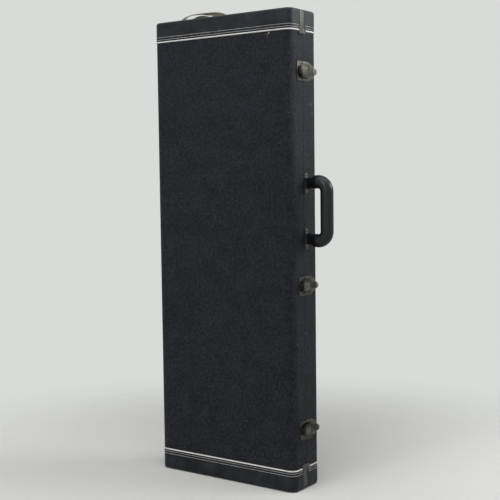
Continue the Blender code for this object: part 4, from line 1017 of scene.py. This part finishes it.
# Distances run from the seam towards the base, up or down from the latch's middle, and out from the wall.
SEAM_EDGE = 0.0006
CATCH_HALF, CATCH_REACH = 0.0205, 0.0230
BOW_RADIUS, BOW_ANGLE = 0.0715, 16.65
RIB_START, RIB_STOP, RIB_RISE, RIB_HALF = -0.0156, -0.0136, 0.0043, 0.0070
BASE_HALF, BASE_SHOULDER, BASE_REACH, BASE_NOSE = 0.0210, 0.0220, 0.0450, 0.0120
EAR_START, EAR_STOP, EAR_RISE, EAR_INNER, EAR_OUTER = 0.0025, 0.0105, 0.0062, 0.0085, 0.0100
PIN_OUT, PIN_ACROSS, PIN_HALF, PIN_RADIUS = 0.0046, 0.0065, 0.0118, 0.0012
CHEEK_INNER, CHEEK_OUTER, CHEEK_RISE = 0.0104, 0.0118, 0.0064
STUB_OUT, STUB_ACROSS, STUB_START, STUB_STOP = 0.0042, 0.0145, 0.0111, 0.0142
LEVER_LOW, LEVER_HIGH = 0.0045, 0.0061
WEB_HALF, TONGUE_HALF = 0.0111, 0.0072
TAB_HALF, TAB_REACH, TAB_THICKNESS = 0.0080, 0.0098, 0.0014
TAB_FOOT = (0.0052, 0.0328)
TAB_LEAN = math.radians(22)
TIP_REACH, TIP_RADIUS = -0.0190, 0.0139
HASP_EDGE, HASP_LOW, HASP_HIGH = 0.0100, 0.0074, 0.0088
RIM_BEAD, RIM_OUT = 0.0008, 0.0086
ARM_START, ARM_STOP, ARM_RISE, ARM_INNER, ARM_OUTER = 0.0019, 0.0171, 0.0091, 0.0122, 0.0142
PAD_START, PAD_STOP, PAD_HALF, PAD_RISE = -0.0152, 0.0092, 0.0088, 0.0107
DISH_START, DISH_STOP, DISH_HALF, DISH_RISE = -0.0118, 0.0058, 0.0052, 0.0112
LIP_START, LIP_STOP, LIP_LOW, LIP_HIGH, LIP_HALF = -0.0180, -0.0164, 0.0046, 0.0080, 0.0045
RIVET_NEAR, RIVET_FAR = 0.0051, 0.01975
CATCH_RIVET_UP, BASE_RIVET_UP = 0.0160, 0.0165
for number in (1, 2, 3):
    joint = next(j for j in frame["joints"] if j["name"] == f"lever_{number}_pivot")
    wall, plan = on_side(joint["pos_m"][2])

    bm = bmesh.new()
    bow = arc((BOW_RADIUS - CATCH_REACH, 0), BOW_RADIUS, 180 - BOW_ANGLE, 180 + BOW_ANGLE, 16)
    catch = closed_rounded(
        [(-SEAM_EDGE, CATCH_HALF), *bow, (-SEAM_EDGE, -CATCH_HALF)],
        (0.0015, 0.0018, *[0] * (len(bow) - 2), 0.0018, 0.0015),
    )
    prism(bm, catch, GAP, PLATE_TOP, wall, 0.00045, 3)
    rib = closed_rounded(rectangle(GAP, RIB_START, RIB_RISE, RIB_STOP), 0.0005, 3)
    prism(bm, rib, -RIB_HALF, RIB_HALF, plan, 0.0004)
    for up in (-CATCH_RIVET_UP, CATCH_RIVET_UP):
        rivet_places["lid"].append((plan(PLATE_TOP, -RIVET_NEAR, up), (1, 0, 0)))
    name = f"draw_latch_catch_{number}"
    finished(name, bm, latch_metal, "lid", "latch_metal", f"latch_catch_{number}")

    bm = bmesh.new()
    base_plate = closed_rounded(
        mirrored([(SEAM_EDGE, BASE_HALF), (BASE_SHOULDER, BASE_HALF), (BASE_REACH, BASE_NOSE)]),
        (0.0015, 0.006, 0.003, 0.003, 0.006, 0.0015),
    )
    prism(bm, base_plate, GAP, PLATE_TOP, wall, 0.00045, 3)
    ear = closed_rounded(rectangle(GAP, EAR_START, EAR_RISE, EAR_STOP), (0.0002, 0.0024, 0.0024, 0.0002))
    for side in (-1, 1):
        prism(bm, ear, side * EAR_INNER, side * EAR_OUTER, plan, 0.0003)
    pin_ends = [plan(PIN_OUT, PIN_ACROSS, side * PIN_HALF) for side in (-1, 1)]
    rod(bm, *pin_ends, PIN_RADIUS, 16, 0.0003)
    for across in (RIVET_NEAR, RIVET_FAR):
        for up in (-BASE_RIVET_UP, BASE_RIVET_UP):
            rivet_places["base"].append((plan(PLATE_TOP, across, up), (1, 0, 0)))
    name = f"draw_latch_base_{number}"
    finished(name, bm, latch_metal, "base", "latch_metal", f"latch_base_{number}")

    def tab_plane(u, v, w):
        """Along the thumb tab, up it and through it: it leans away from the hasp."""
        c, s = math.cos(TAB_LEAN), math.sin(TAB_LEAN)
        return plan(TAB_FOOT[0] + u * c - w * s, TAB_FOOT[1] + u * s + w * c, v)

    bm = bmesh.new()
    cheek = closed_rounded(
        [(0.0019, 0.0038), (CHEEK_RISE, 0.0038), (CHEEK_RISE, 0.0225), (0.0028, 0.0225), (0.0028, 0.0090)],
        (0.0016, 0.0020, 0.0010, 0.0010, 0.003),
    )
    for side in (-1, 1):
        prism(bm, cheek, side * CHEEK_INNER, side * CHEEK_OUTER, plan, 0.0003)
        stub_ends = [plan(STUB_OUT, STUB_ACROSS, side * up) for up in (STUB_START, STUB_STOP)]
        rod(bm, *stub_ends, PIN_RADIUS)
    web = closed_rounded(
        mirrored([(0.0189, WEB_HALF), (0.0218, WEB_HALF), (0.0232, TONGUE_HALF), (0.0330, TONGUE_HALF)]),
        (0.0008, 0.0018, 0.0015, 0, 0, 0.0015, 0.0018, 0.0008),
    )
    prism(bm, web, LEVER_LOW, LEVER_HIGH, wall, 0.0004, 3)
    tab = [(0, TAB_HALF), *arc((TAB_REACH - TAB_HALF, 0), TAB_HALF, 90, -90, 24), (0, -TAB_HALF)]
    prism(bm, tab, 0, TAB_THICKNESS, tab_plane, 0.0005, 3)
    bend = closed_rounded(
        [(LEVER_LOW, 0.0300), (LEVER_HIGH, 0.0300), (LEVER_HIGH, 0.0310), (0.0075, 0.0326), (0.0075, 0.0338),
         (0.0058, 0.0336), (LEVER_LOW, 0.0325)],
        0.0003,
        2,
    )
    prism(bm, bend, -0.0066, 0.0066, plan, 0.0003)
    name = f"draw_latch_lever_{number}"
    finished(name, bm, latch_metal, f"lever_{number}", "latch_metal", f"latch_lever_{number}")

    bm = bmesh.new()
    tip_centre = (TIP_REACH + TIP_RADIUS, 0)
    tip = arc(tip_centre, TIP_RADIUS, 90, 270, 32)
    plate = [*tip, (HASP_EDGE, -TIP_RADIUS), (HASP_EDGE, TIP_RADIUS)]
    prism(bm, closed_rounded(plate, [0] * len(tip) + [0.0008, 0.0008]), HASP_LOW, HASP_HIGH, wall, 0.0005, 3)
    rim_line = arc(tip_centre, TIP_RADIUS - 0.0006, 100, 260, 32)
    bead = arc((0, 0), RIM_BEAD, 0, 315, 7)
    swept(bm, [plan(RIM_OUT, u, v) for u, v in rim_line], bead, (1, 0, 0))
    arm = closed_rounded(
        [(0.0016, 0.0125), (0.0016, ARM_STOP), (ARM_RISE, ARM_STOP), (ARM_RISE, ARM_START),
         (0.0042, ARM_START)],
        (0.0021, 0.0022, 0.0016, 0.0012, 0.0012),
    )
    for side in (-1, 1):
        prism(bm, arm, side * ARM_INNER, side * ARM_OUTER, plan, 0.0004, 3)
    pad = rectangle(PAD_START, PAD_HALF, PAD_STOP, -PAD_HALF)
    pad = closed_rounded(pad, (0.0042, 0.0022, 0.0022, 0.0042))
    prism(bm, pad, 0.0080, PAD_RISE, wall, 0.0008, 3)
    dish = closed_rounded(rectangle(DISH_START, DISH_HALF, DISH_STOP, -DISH_HALF), 0.0022)
    prism(bm, dish, 0.0100, DISH_RISE, wall, 0.0005, 3)
    lip = closed_rounded(rectangle(LIP_LOW, LIP_START, LIP_HIGH, LIP_STOP), 0.0004, 3)
    prism(bm, lip, -LIP_HALF, LIP_HALF, plan, 0.0003)
    name = f"draw_latch_hasp_{number}"
    finished(name, bm, hasp_metal, f"hasp_{number}", "latch_metal", f"latch_hasp_{number}")


# Handle: a black injection-moulded plastic grip, with a low parting seam along its outer and inner faces. Its
# flattened ends turn on pins in two narrow plated brackets, screwed to the base's side. Use has polished it,
# so that it shows long soft glints, broken by smears.
swing = next(j for j in frame["joints"] if j["name"] == "handle_swing")["pos_m"]
LEG_Z = 0.0600
LEG_SPLAY = 0.0034
LEG_REACH = 0.0451
CORNER = 0.0210
GRIP_RADIUS = 0.0142
GRIP_FLATNESS = 0.87
END_HALF = 0.0102
NOSE = 0.0050
handle_plastic, tree, place = new_material("moulded_black_plastic")
smears = add_node(tree, "ShaderNodeTexNoise", Vector=place, Scale=60.0, Detail=6.0, Roughness=0.65)
smear_gloss = add_node(
    tree,
    "ShaderNodeMapRange",
    Value=smears.outputs["Fac"],
    From_Min=0.35,
    From_Max=0.68,
    To_Min=0.26,
    To_Max=0.36,
)
plastic_colour = add_node(
    tree,
    "ShaderNodeMix",
    data_type="RGBA",
    Factor=smears.outputs["Fac"],
    in6=linear("#0e1014"),
    in7=linear("#181b20"),
)
ripple = add_node(tree, "ShaderNodeTexNoise", Vector=place, Scale=150.0, Detail=3.0)
relief = add_node(tree, "ShaderNodeBump", Height=ripple.outputs["Fac"], Strength=0.12, Distance=0.0002)
shader = add_node(
    tree,
    "ShaderNodeBsdfPrincipled",
    Base_Color=plastic_colour.outputs[2],
    Roughness=smear_gloss,
    IOR=1.5,
    Specular_IOR_Level=0.32,
    Normal=relief,
)
add_node(tree, "ShaderNodeOutputMaterial", Surface=shader)


def eased(value, low, high):
    """The share of the way from low to high, with a slow start and a slow stop."""
    share = min(max((value - low) / (high - low), 0), 1)
    return share * share * (3 - 2 * share)


bm = bmesh.new()
straight = LEG_REACH - CORNER
nose_path = [(-NOSE * math.cos(math.radians(a)), LEG_Z) for a in range(0, 90, 10)]
bar_z = LEG_Z + LEG_SPLAY
corner_path = rounded([(0, bar_z), (LEG_REACH, bar_z), (LEG_REACH, 0)], CORNER, 16)[1:-1]
leg_path = [(straight * i / 16, LEG_Z + LEG_SPLAY * eased(i / 16, 0.2, 1)) for i in range(16)]
upper = [*nose_path, *leg_path, *corner_path]
bar = [(LEG_REACH, (bar_z - CORNER) * (1 - 2 * i / 24)) for i in range(1, 24)]
grip_path = [*upper, *bar, *[(x, -z) for x, z in reversed(upper)]]


def grip_section(reach):
    """Half width, half thickness and roundness of the grip at a reach from the pins.

    It is flat and square beside the pins, and swells to its full oval in the first 25 mm.
    """
    if reach <= 0:
        thick = math.sqrt(max(NOSE**2 - reach**2, 1e-8))
        return END_HALF - 0.0006 * (1 - thick / NOSE), thick, 4.0
    width = END_HALF + (GRIP_RADIUS - END_HALF) * eased(reach, 0.004, 0.018)
    thick = NOSE + (GRIP_RADIUS * GRIP_FLATNESS - NOSE) * eased(reach, 0, 0.025)
    return width, thick, 4.0 - 1.75 * eased(reach, 0, 0.02)


SEAM_RIDGE = 0.0003
SEAM_WIDTH = 2.4
near_seam = (0, 1.5, 3, 5, 8)
turns = sorted({*range(15, 170, 9), *near_seam, *[180 - a for a in near_seam]})
turns += [360 - a for a in reversed(turns) if 0 < a < 180]
rings = []
path = [Vector(swing) + Vector((x, 0, z)) for x, z in grip_path]
for i, point in enumerate(path):
    step = path[min(i + 1, len(path) - 1)] - path[max(i - 1, 0)]
    normal = step.normalized().cross(Vector((0, 1, 0)))
    reach = point.x - swing[0]
    half_width, half_thick, power = grip_section(reach)
    if reach <= 0:
        normal = Vector((0, 0, 1 if point.z > swing[2] else -1))
    ridge = SEAM_RIDGE * eased(reach, 0.006, 0.02)
    ring = []
    for turn in turns:
        c, s = math.cos(math.radians(turn)), math.sin(math.radians(turn))
        a = math.copysign(abs(c) ** (2 / power), c) * half_width
        b = math.copysign(abs(s) ** (2 / power), s) * half_thick
        from_seam = min(abs(turn), abs(180 - turn), abs(360 - turn))
        a += math.copysign(ridge * math.exp(-((from_seam / SEAM_WIDTH) ** 2)), c)
        ring.append(bm.verts.new(point + normal * a + Vector((0, 1, 0)) * b))
    rings.append(ring)
capped(bm, rings)
finished("moulded_handle", bm, handle_plastic, "handle", "handle_plastic", "handle_grip", smooth_angle=50)

PIVOT_OUT, PIVOT_HALF, PIVOT_RADIUS = 0.0075, 0.0124, 0.0020
SUPPORT_RADIUS, SUPPORT_INNER, SUPPORT_OUTER = 0.0045, 0.0106, 0.0121
SCREW_UP, SCREW_RADIUS, SCREW_RISE = 0.0184, 0.0030, 0.0015
bracket_screws = []
for number in (1, 2):
    low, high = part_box(f"handle_bracket_{number}")
    wall, plan = on_side((low.z + high.z) / 2)
    middle = (low.y + high.y) / 2 - SEAM_Y
    half_width = (high.y - low.y) / 2
    half_length = (high.z - low.z) / 2
    bm = bmesh.new()
    outline = closed_rounded(
        rectangle(middle - half_width, half_length, middle + half_width, -half_length), 0.0042, 8
    )
    prism(bm, outline, GAP, PLATE_TOP, wall, 0.0004, 3)
    round_end = arc((PIVOT_OUT, middle), SUPPORT_RADIUS, -90, 90, 18)
    support = [(GAP, middle - SUPPORT_RADIUS), *round_end, (GAP, middle + SUPPORT_RADIUS)]
    for side in (-1, 1):
        prism(bm, support, side * SUPPORT_INNER, side * SUPPORT_OUTER, plan, 0.0004)
    pivot_ends = [plan(PIVOT_OUT, middle, side * PIVOT_HALF) for side in (-1, 1)]
    rod(bm, *pivot_ends, PIVOT_RADIUS, 20, 0.0004)
    bracket_screws += [(plan(PLATE_TOP, middle, up), (1, 0, 0)) for up in (-SCREW_UP, SCREW_UP)]
    name = f"handle_plated_bracket_{number}"
    finished(name, bm, bracket_metal, "base", "hinge_metal", f"handle_bracket_{number}")


# Strap: a carrying strap across the top end, of leather folded into two layers. Both ends are pinned flat
# under small riveted plates, so the layers arch apart when it isn't pulled, and the outer one twists. It has
# faded to a greyish beige, and is mottled and finely creased.
strap_leather, tree, place = new_material("faded_bridle_leather")
mottled, _, _ = patches(
    tree, place, ("#a5a396", "#c6c3b4"), (0.35, 0.68), Scale=90.0, Detail=8.0, Roughness=0.7
)
creases = add_node(tree, "ShaderNodeTexVoronoi", feature="DISTANCE_TO_EDGE", Vector=place, Scale=900.0)
crease = add_node(tree, "ShaderNodeMapRange", Value=creases.outputs["Distance"], From_Max=0.15)
relief = add_node(tree, "ShaderNodeBump", Height=crease, Strength=0.35, Distance=0.0001)
shader = add_node(
    tree, "ShaderNodeBsdfPrincipled", Base_Color=mottled, Roughness=0.5, IOR=1.48, Normal=relief
)
add_node(tree, "ShaderNodeOutputMaterial", Surface=shader)

# Along the strap, places run from its middle. The outer layer falls from its peak over a span to each side,
# the more steeply at the span's end the fuller it is. The inner hump has a peak, two spans and a rise.
low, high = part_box("end_strap")
strap_middle = Vector(((low.x + high.x) / 2, (low.y + high.y) / 2, 0))
STRAP_HALF_WIDTH = (high.y - low.y) / 2
STRAP_END = 0.0908
STRAP_HALF_SPAN = 0.0735
STRAP_SAG = 0.0018
STRAP_PEAK = 0.010
LEFT_SPAN, LEFT_FULLNESS = 0.0800, 4.2
RIGHT_SPAN, RIGHT_FULLNESS = 0.0700, 3.0
OUTER_LAYER, INNER_LAYER = 0.0015, 0.0011
INNER_HUMP = (-0.0040, 0.0550, 0.0620, 0.0130)
STRAP_STEPS = 96
# The outer layer's twist in degrees, at shares of the half span.
STRAP_ROLL = (
    (-1, 0),
    (-0.88, 12),
    (-0.7, 18),
    (-0.3, 6),
    (0.1, -8),
    (0.35, -19),
    (0.7, -18),
    (0.9, -6),
    (1, 0),
)


def between(points, value):
    """The value on a smooth line through the points."""
    for (x0, y0), (x1, y1) in zip(points, points[1:]):
        if x0 <= value <= x1:
            return y0 + (y1 - y0) * eased(value, x0, x1)
    return 0


def strap_layer(bm, rise_at, base, thickness, roll_at):
    """Adds one layer of the strap. Its height and its twist in degrees follow the way from its middle."""
    rings = []
    for i in range(STRAP_STEPS + 1):
        x = -STRAP_END * math.cos(math.pi * i / STRAP_STEPS)
        slope = (rise_at(x + 0.0005) - rise_at(x - 0.0005)) / 0.001
        up = Vector((-slope, 0, 1)).normalized()
        roll = math.radians(roll_at(x))
        across = Vector((0, 1, 0)) * math.cos(roll) + up * math.sin(roll)
        over = up * math.cos(roll) - Vector((0, 1, 0)) * math.sin(roll)
        near_edge = Vector((strap_middle.x + x, strap_middle.y - STRAP_HALF_WIDTH, base + rise_at(x)))
        outline = closed_rounded(
            [(0, 0), (0, 2 * STRAP_HALF_WIDTH), (thickness, 2 * STRAP_HALF_WIDTH), (thickness, 0)],
            thickness * 0.4,
            3,
        )
        rings.append([bm.verts.new(near_edge + over * a + across * b) for a, b in outline])
    capped(bm, rings)


def outer_rise(x):
    """The outer layer's height over the inner one."""
    span, fullness = (LEFT_SPAN, LEFT_FULLNESS) if x < STRAP_PEAK else (RIGHT_SPAN, RIGHT_FULLNESS)
    share = min(abs(x - STRAP_PEAK) / span, 1)
    return (high.z - low.z - OUTER_LAYER - INNER_LAYER - STRAP_SAG) * (1 - share**fullness)


def inner_rise(x):
    """The inner layer's height: one low hump."""
    peak, left, right, rise = INNER_HUMP
    share = min(abs(x - peak) / (left if x < peak else right), 1)
    return rise * (1 + math.cos(math.pi * share)) / 2


def outer_roll(x):
    """The outer layer's twist in degrees."""
    return between(STRAP_ROLL, x / STRAP_HALF_SPAN)


bm = bmesh.new()
strap_layer(bm, outer_rise, low.z + INNER_LAYER, OUTER_LAYER, outer_roll)
strap_layer(bm, inner_rise, low.z, INNER_LAYER, lambda x: 0)
finished(
    "folded_leather_strap", bm, strap_leather, "base", "strap_leather", "end_strap", smooth_angle=40
)
STRAP_RIVET_ACROSS = 0.005
for name in ("left", "right"):
    low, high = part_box(f"end_strap_plate_{name}")
    outline = closed_rounded(rectangle(low.x, low.y, high.x, high.y), 0.0024)
    bm = bmesh.new()
    prism(bm, outline, low.z, low.z + PLATE, lambda u, v, w: (u, v, w), 0.0004, 3)
    finished(f"strap_end_plate_{name}", bm, hinge_metal, "base", "hinge_metal", f"end_strap_plate_{name}")
    x, y = (low.x + high.x) / 2, (low.y + high.y) / 2
    for across in (-STRAP_RIVET_ACROSS, STRAP_RIVET_ACROSS):
        rivet_places["base"].append(((x, y + across, low.z + PLATE), (0, 0, 1)))

for half, places in rivet_places.items():
    rivets = heads_at(f"{half}_domed_rivets", places, RIVET_RADIUS, RIVET_RISE, rivet_metal)
    placed_on(rivets, half, "latch_metal")
screws = heads_at("bracket_oval_head_screws", bracket_screws, SCREW_RADIUS, SCREW_RISE, bracket_metal)
placed_on(screws, "base", "hinge_metal")


# Feet: four turned steel domes nailed to the far side, on which the case rests when it lies on its edge.
# They are nickel-plated like the hinges, and have a small flat face.
FOOT_FACE = 0.0055
for number in (1, 2, 3, 4):
    low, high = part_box(f"foot_{number}")
    centre_y, centre_z = (low.y + high.y) / 2, (low.z + high.z) / 2
    radius, rise = (high.z - low.z) / 2, high.x - low.x
    profile = [(0.0, rise), (FOOT_FACE - 0.0004, rise)]
    for turn in range(6, 91, 7):
        s, c = math.sin(math.radians(turn)), math.cos(math.radians(turn))
        profile.append((FOOT_FACE + (radius - FOOT_FACE) * s, rise * c))
    profile += [(radius, 0.0), (0.0, 0.0)]
    bm = bmesh.new()
    verts = [bm.verts.new((high.x - out, centre_y, centre_z + r)) for r, out in profile]
    edges = [bm.edges.new(pair) for pair in zip(verts, verts[1:])]
    bmesh.ops.spin(
        bm,
        geom=verts + edges,
        cent=(high.x, centre_y, centre_z),
        axis=(1, 0, 0),
        angle=2 * math.pi,
        steps=40,
        use_merge=True,
    )
    bmesh.ops.remove_doubles(bm, verts=bm.verts, dist=0.00001)
    name = f"domed_foot_{number}"
    finished(name, bm, hinge_metal, "base", "foot_metal", f"foot_{number}", smooth_angle=35)


# Shells: two trays of 4.5 mm plywood, glued at the ends and rounded along the face. The covering is turned in
# over their edges at the seam, so their plies show nowhere on a finished case. A stiff rim of pressed fibre
# is glued inside the base, and its lip stands up into the lid.
PLY = 0.0045
SHELL_INSET = 0.0021
TURNED_EDGE = 0.0012
# Birch is pale, with a grain that runs up the case and is a little darker.
plywood, tree, place = new_material("birch_plywood")
along_grain = add_node(tree, "ShaderNodeMapping", Vector=place, Scale=(90.0, 600.0, 9.0))
grain = add_node(tree, "ShaderNodeTexNoise", Vector=along_grain, Scale=1.0, Detail=6.0)
wood_colour = add_node(
    tree,
    "ShaderNodeMix",
    data_type="RGBA",
    Factor=grain.outputs["Fac"],
    in6=linear("#a57e52"),
    in7=linear("#d3b183"),
)
relief = add_node(tree, "ShaderNodeBump", Height=grain.outputs["Fac"], Strength=0.3, Distance=0.0002)
shader = add_node(
    tree, "ShaderNodeBsdfPrincipled", Base_Color=wood_colour.outputs[2], Roughness=0.65, Normal=relief
)
add_node(tree, "ShaderNodeOutputMaterial", Surface=shader)


def round_case(inset, radius):
    """The closed rectangle round the case, seen from the lid, with its corners rounded. A list of x and z."""
    x = HALF_WIDTH - inset
    return closed_rounded(rectangle(-x, inset, x, LENGTH - inset), radius, 5)


def swept_ring(bm, inset, radius, section):
    """Adds a closed section carried right round the case. Its points give inset and depth."""
    routes = [round_case(inset + a, max(radius - a, 0.0003)) for a, _ in section]
    rings = []
    for places in zip(*routes):
        rings.append([bm.verts.new((x, depth, z)) for (x, z), (_, depth) in zip(places, section)])
    skinned(bm, [*rings, rings[0]], closed=True)


for half, (face_y, outward) in HALVES.items():
    edge_y = SEAM_Y + outward * SEAM_GAP
    inner_face = face_y - outward * SHELL_INSET
    bm = tray(
        HALF_WIDTH - SHELL_INSET,
        inner_face,
        edge_y + outward * (TURNED_EDGE + 0.0002),
        SHELL_INSET,
        LENGTH - SHELL_INSET,
        LONG_RADIUS - SHELL_INSET,
        END_RADIUS - SHELL_INSET,
        ("low", "high"),
        0.012,
    )
    shell = walled(in_scene(f"{half}_plywood_shell", bm, plywood), PLY, edge_radius=0)
    placed_on(shell, half, "plywood", f"{half}_shell")
    section = closed_rounded(rectangle(0, edge_y, PLY, edge_y + outward * TURNED_EDGE), 0.0004, 3)
    bm = bmesh.new()
    swept_ring(bm, SHELL_INSET, END_RADIUS - SHELL_INSET, section)
    finished(f"{half}_turned_in_edge", bm, covering_vinyl, half, "covering_vinyl", smooth_angle=40)

# Pressed fibre is matt and nearly black, with paler flecks, drawn coarser than real so that they show.
rim_fibre, tree, place = new_material("pressed_black_fibre")
fibres = add_node(tree, "ShaderNodeTexNoise", Vector=place, Scale=500.0, Detail=5.0)
fibre_colour = add_node(
    tree,
    "ShaderNodeMix",
    data_type="RGBA",
    Factor=fibres.outputs["Fac"],
    in6=linear("#101010"),
    in7=linear("#2b2a29"),
)
relief = add_node(tree, "ShaderNodeBump", Height=fibres.outputs["Fac"], Strength=0.3, Distance=0.0001)
shader = add_node(
    tree, "ShaderNodeBsdfPrincipled", Base_Color=fibre_colour.outputs[2], Roughness=0.58, Normal=relief
)
add_node(tree, "ShaderNodeOutputMaterial", Surface=shader)

RIM_THICKNESS = 0.0030
LIP_STEP = 0.0006
low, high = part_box("base_rim")
rim_section = closed_rounded(
    [(0, SEAM_Y + 0.0003), (LIP_STEP, SEAM_Y), (LIP_STEP, low.y), (RIM_THICKNESS, low.y),
     (RIM_THICKNESS, high.y), (0, high.y)],
    (0.0002, 0.0002, 0.0008, 0.0008, 0.0003, 0.0003),
    4,
)
bm = bmesh.new()
swept_ring(bm, HALF_WIDTH - high.x, 0.0008, rim_section)
finished("fibre_seam_rim", bm, rim_fibre, "base", "rim_fibre", "base_rim", smooth_angle=40)


# Lining: charcoal plush glued over thin foam inside both halves. Its pile catches the light at a low angle,
# and hands and the guitar have brushed it in patches. The pile is drawn coarser than real, so that it shows.
def plush(name, shadow, light, nap_size):
    """A plush in two tones: patches of a size where the pile lies one way or the other."""
    material, tree, place = new_material(name)
    nap = add_node(tree, "ShaderNodeTexNoise", Vector=place, Scale=1 / nap_size, Detail=3.0, Distortion=0.6)
    pile = add_node(tree, "ShaderNodeTexNoise", Vector=place, Scale=1500.0, Detail=2.0)
    tufts = add_node(tree, "ShaderNodeTexNoise", Vector=place, Scale=260.0, Detail=4.0)
    tuft = tufts.outputs["Fac"]
    mixed = add_node(
        tree, "ShaderNodeMath", operation="MULTIPLY_ADD", in0=tuft, in1=0.5, in2=nap.outputs["Fac"]
    )
    share = add_node(tree, "ShaderNodeMapRange", Value=mixed, From_Min=0.5, From_Max=1.0)
    colour = add_node(
        tree, "ShaderNodeMix", data_type="RGBA", Factor=share, in6=linear(shadow), in7=linear(light)
    )
    height = add_node(
        tree, "ShaderNodeMath", operation="MULTIPLY_ADD", in0=pile.outputs["Fac"], in1=0.6, in2=tuft
    )
    relief = add_node(tree, "ShaderNodeBump", Height=height, Strength=0.7, Distance=0.0007)
    shader = add_node(
        tree,
        "ShaderNodeBsdfPrincipled",
        Base_Color=colour.outputs[2],
        Roughness=0.95,
        Sheen_Weight=0.7,
        Sheen_Roughness=0.35,
        Normal=relief,
    )
    add_node(tree, "ShaderNodeOutputMaterial", Surface=shader)
    return material


lining_plush = plush("charcoal_pile_plush", "#343132", "#4d484a", 0.05)
pad_plush = plush("charcoal_pile_plush_over_foam", "#393637", "#544f51", 0.035)

LINING = 0.0030
LINING_SWELL = 0.0006
LINING_SLACK = 0.0007
for half, (face_y, outward) in HALVES.items():
    low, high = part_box(f"{half}_lining")
    inset = HALF_WIDTH - high.x + LINING
    bm = tray(
        HALF_WIDTH - inset,
        face_y - outward * inset,
        high.y if outward < 0 else low.y,
        inset,
        LENGTH - inset,
        LONG_RADIUS - inset,
        0.0012,
        ("low", "high"),
        0.007,
    )
    for vert in bm.verts:
        swell = noise.noise(vert.co * 22) + 0.5 * noise.noise(vert.co * 70)
        vert.co += vert.normal * LINING_SWELL * swell
    lining = walled(in_scene(f"{half}_plush_lining", bm, lining_plush), LINING - LINING_SLACK, True, 0.001)
    placed_on(lining, half, "lining_plush", f"{half}_lining")


# Padding: foam blocks wrapped in plush and glued to the floor of the base. They hold the guitar's body at its
# bouts and tail, and its neck in a notched rest.
FOAM_VOXEL = 0.0032
FOAM_ROUNDING = 8
FOAM_CROWN = 0.0012
CROWN_REACH = 0.012


def foam_block(name, node):
    """A node's solid as a plush-covered foam block: its edges are soft and its free faces swell a little."""
    bm = bmesh.new()
    bm.from_mesh(frame["nodes"][node].data)
    bmesh.ops.remove_doubles(bm, verts=bm.verts, dist=0.00005)
    obj = in_scene(name, bm, pad_plush)
    remesh = obj.modifiers.new("remesh", "REMESH")
    remesh.mode = "VOXEL"
    remesh.voxel_size = FOAM_VOXEL
    soften = obj.modifiers.new("soften", "SMOOTH")
    soften.factor = 0.5
    soften.iterations = FOAM_ROUNDING
    settled(obj, 180)
    low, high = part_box(node)
    bm = bmesh.new()
    bm.from_mesh(obj.data)
    bm.normal_update()
    for vert in bm.verts:
        margins = [min(vert.co[i] - low[i], high[i] - vert.co[i]) for i in range(3)]
        swell = FOAM_CROWN * (1 - math.exp(-sorted(margins)[1] / CROWN_REACH))
        swell += 0.0007 * noise.noise(vert.co * 35) + 0.0004 * noise.noise(vert.co * 110)
        vert.co += vert.normal * swell
        for axis in range(3):
            vert.co[axis] = min(max(vert.co[axis], low[axis]), high[axis])
    bm.to_mesh(obj.data)
    bm.free()
    fuller = obj.modifiers.new("fuller", "SUBSURF")
    fuller.levels = fuller.render_levels = 1
    settled(obj, 180)
    obj.data.materials.clear()
    obj.data.materials.append(pad_plush)
    return placed_on(obj, "base", "pad_plush", node)


for name, node, fill in (
    ("bolster_left_foam", "bolster_left", 0.85),
    ("bolster_right_foam", "bolster_right", 0.85),
    ("tail_foam", "tail_block", 0.85),
    ("neck_filler_foam", "neck_filler", 0.85),
    ("neck_rest_foam", "neck_rest", 0.9),
):
    foam_block(name, node)


# Accessory box: thin board lined with the same plush, beside the neck. Its lid hinges on the cloth at the
# wall and lifts by a small leather tab.
def boarded(name, node, material, body, slot, edge_radius=0.0007):
    """A node's solid with its rims rounded, as cloth drawn round a board rounds them."""
    bm = bmesh.new()
    bm.from_mesh(frame["nodes"][node].data)
    bmesh.ops.remove_doubles(bm, verts=bm.verts, dist=0.00002)
    bmesh.ops.dissolve_limit(bm, angle_limit=math.radians(2), verts=bm.verts, edges=bm.edges)
    edges = [edge for edge in bm.edges if edge.is_manifold and edge.calc_face_angle() > math.radians(40)]
    bmesh.ops.bevel(
        bm, geom=edges, offset=edge_radius, segments=3, profile=0.5, affect="EDGES", clamp_overlap=True
    )
    finished(name, bm, material, body, slot, node, smooth_angle=45)


boarded("plush_accessory_box", "accessory_box", lining_plush, "base", "lining_plush")
boarded("plush_accessory_lid", "accessory_lid", pad_plush, "accessory_lid", "lining_plush", 0.0014)
low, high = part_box("accessory_pull_tab")
tab_outline = closed_rounded(rectangle(low.x, low.z, high.x, high.z), (0.001, 0.0075, 0.0075, 0.001))
bm = bmesh.new()
prism(bm, tab_outline, low.y, high.y, lambda u, v, w: (u, w, v), 0.0004, 3)
finished("leather_pull_tab", bm, strap_leather, "accessory_lid", "strap_leather", "accessory_pull_tab")
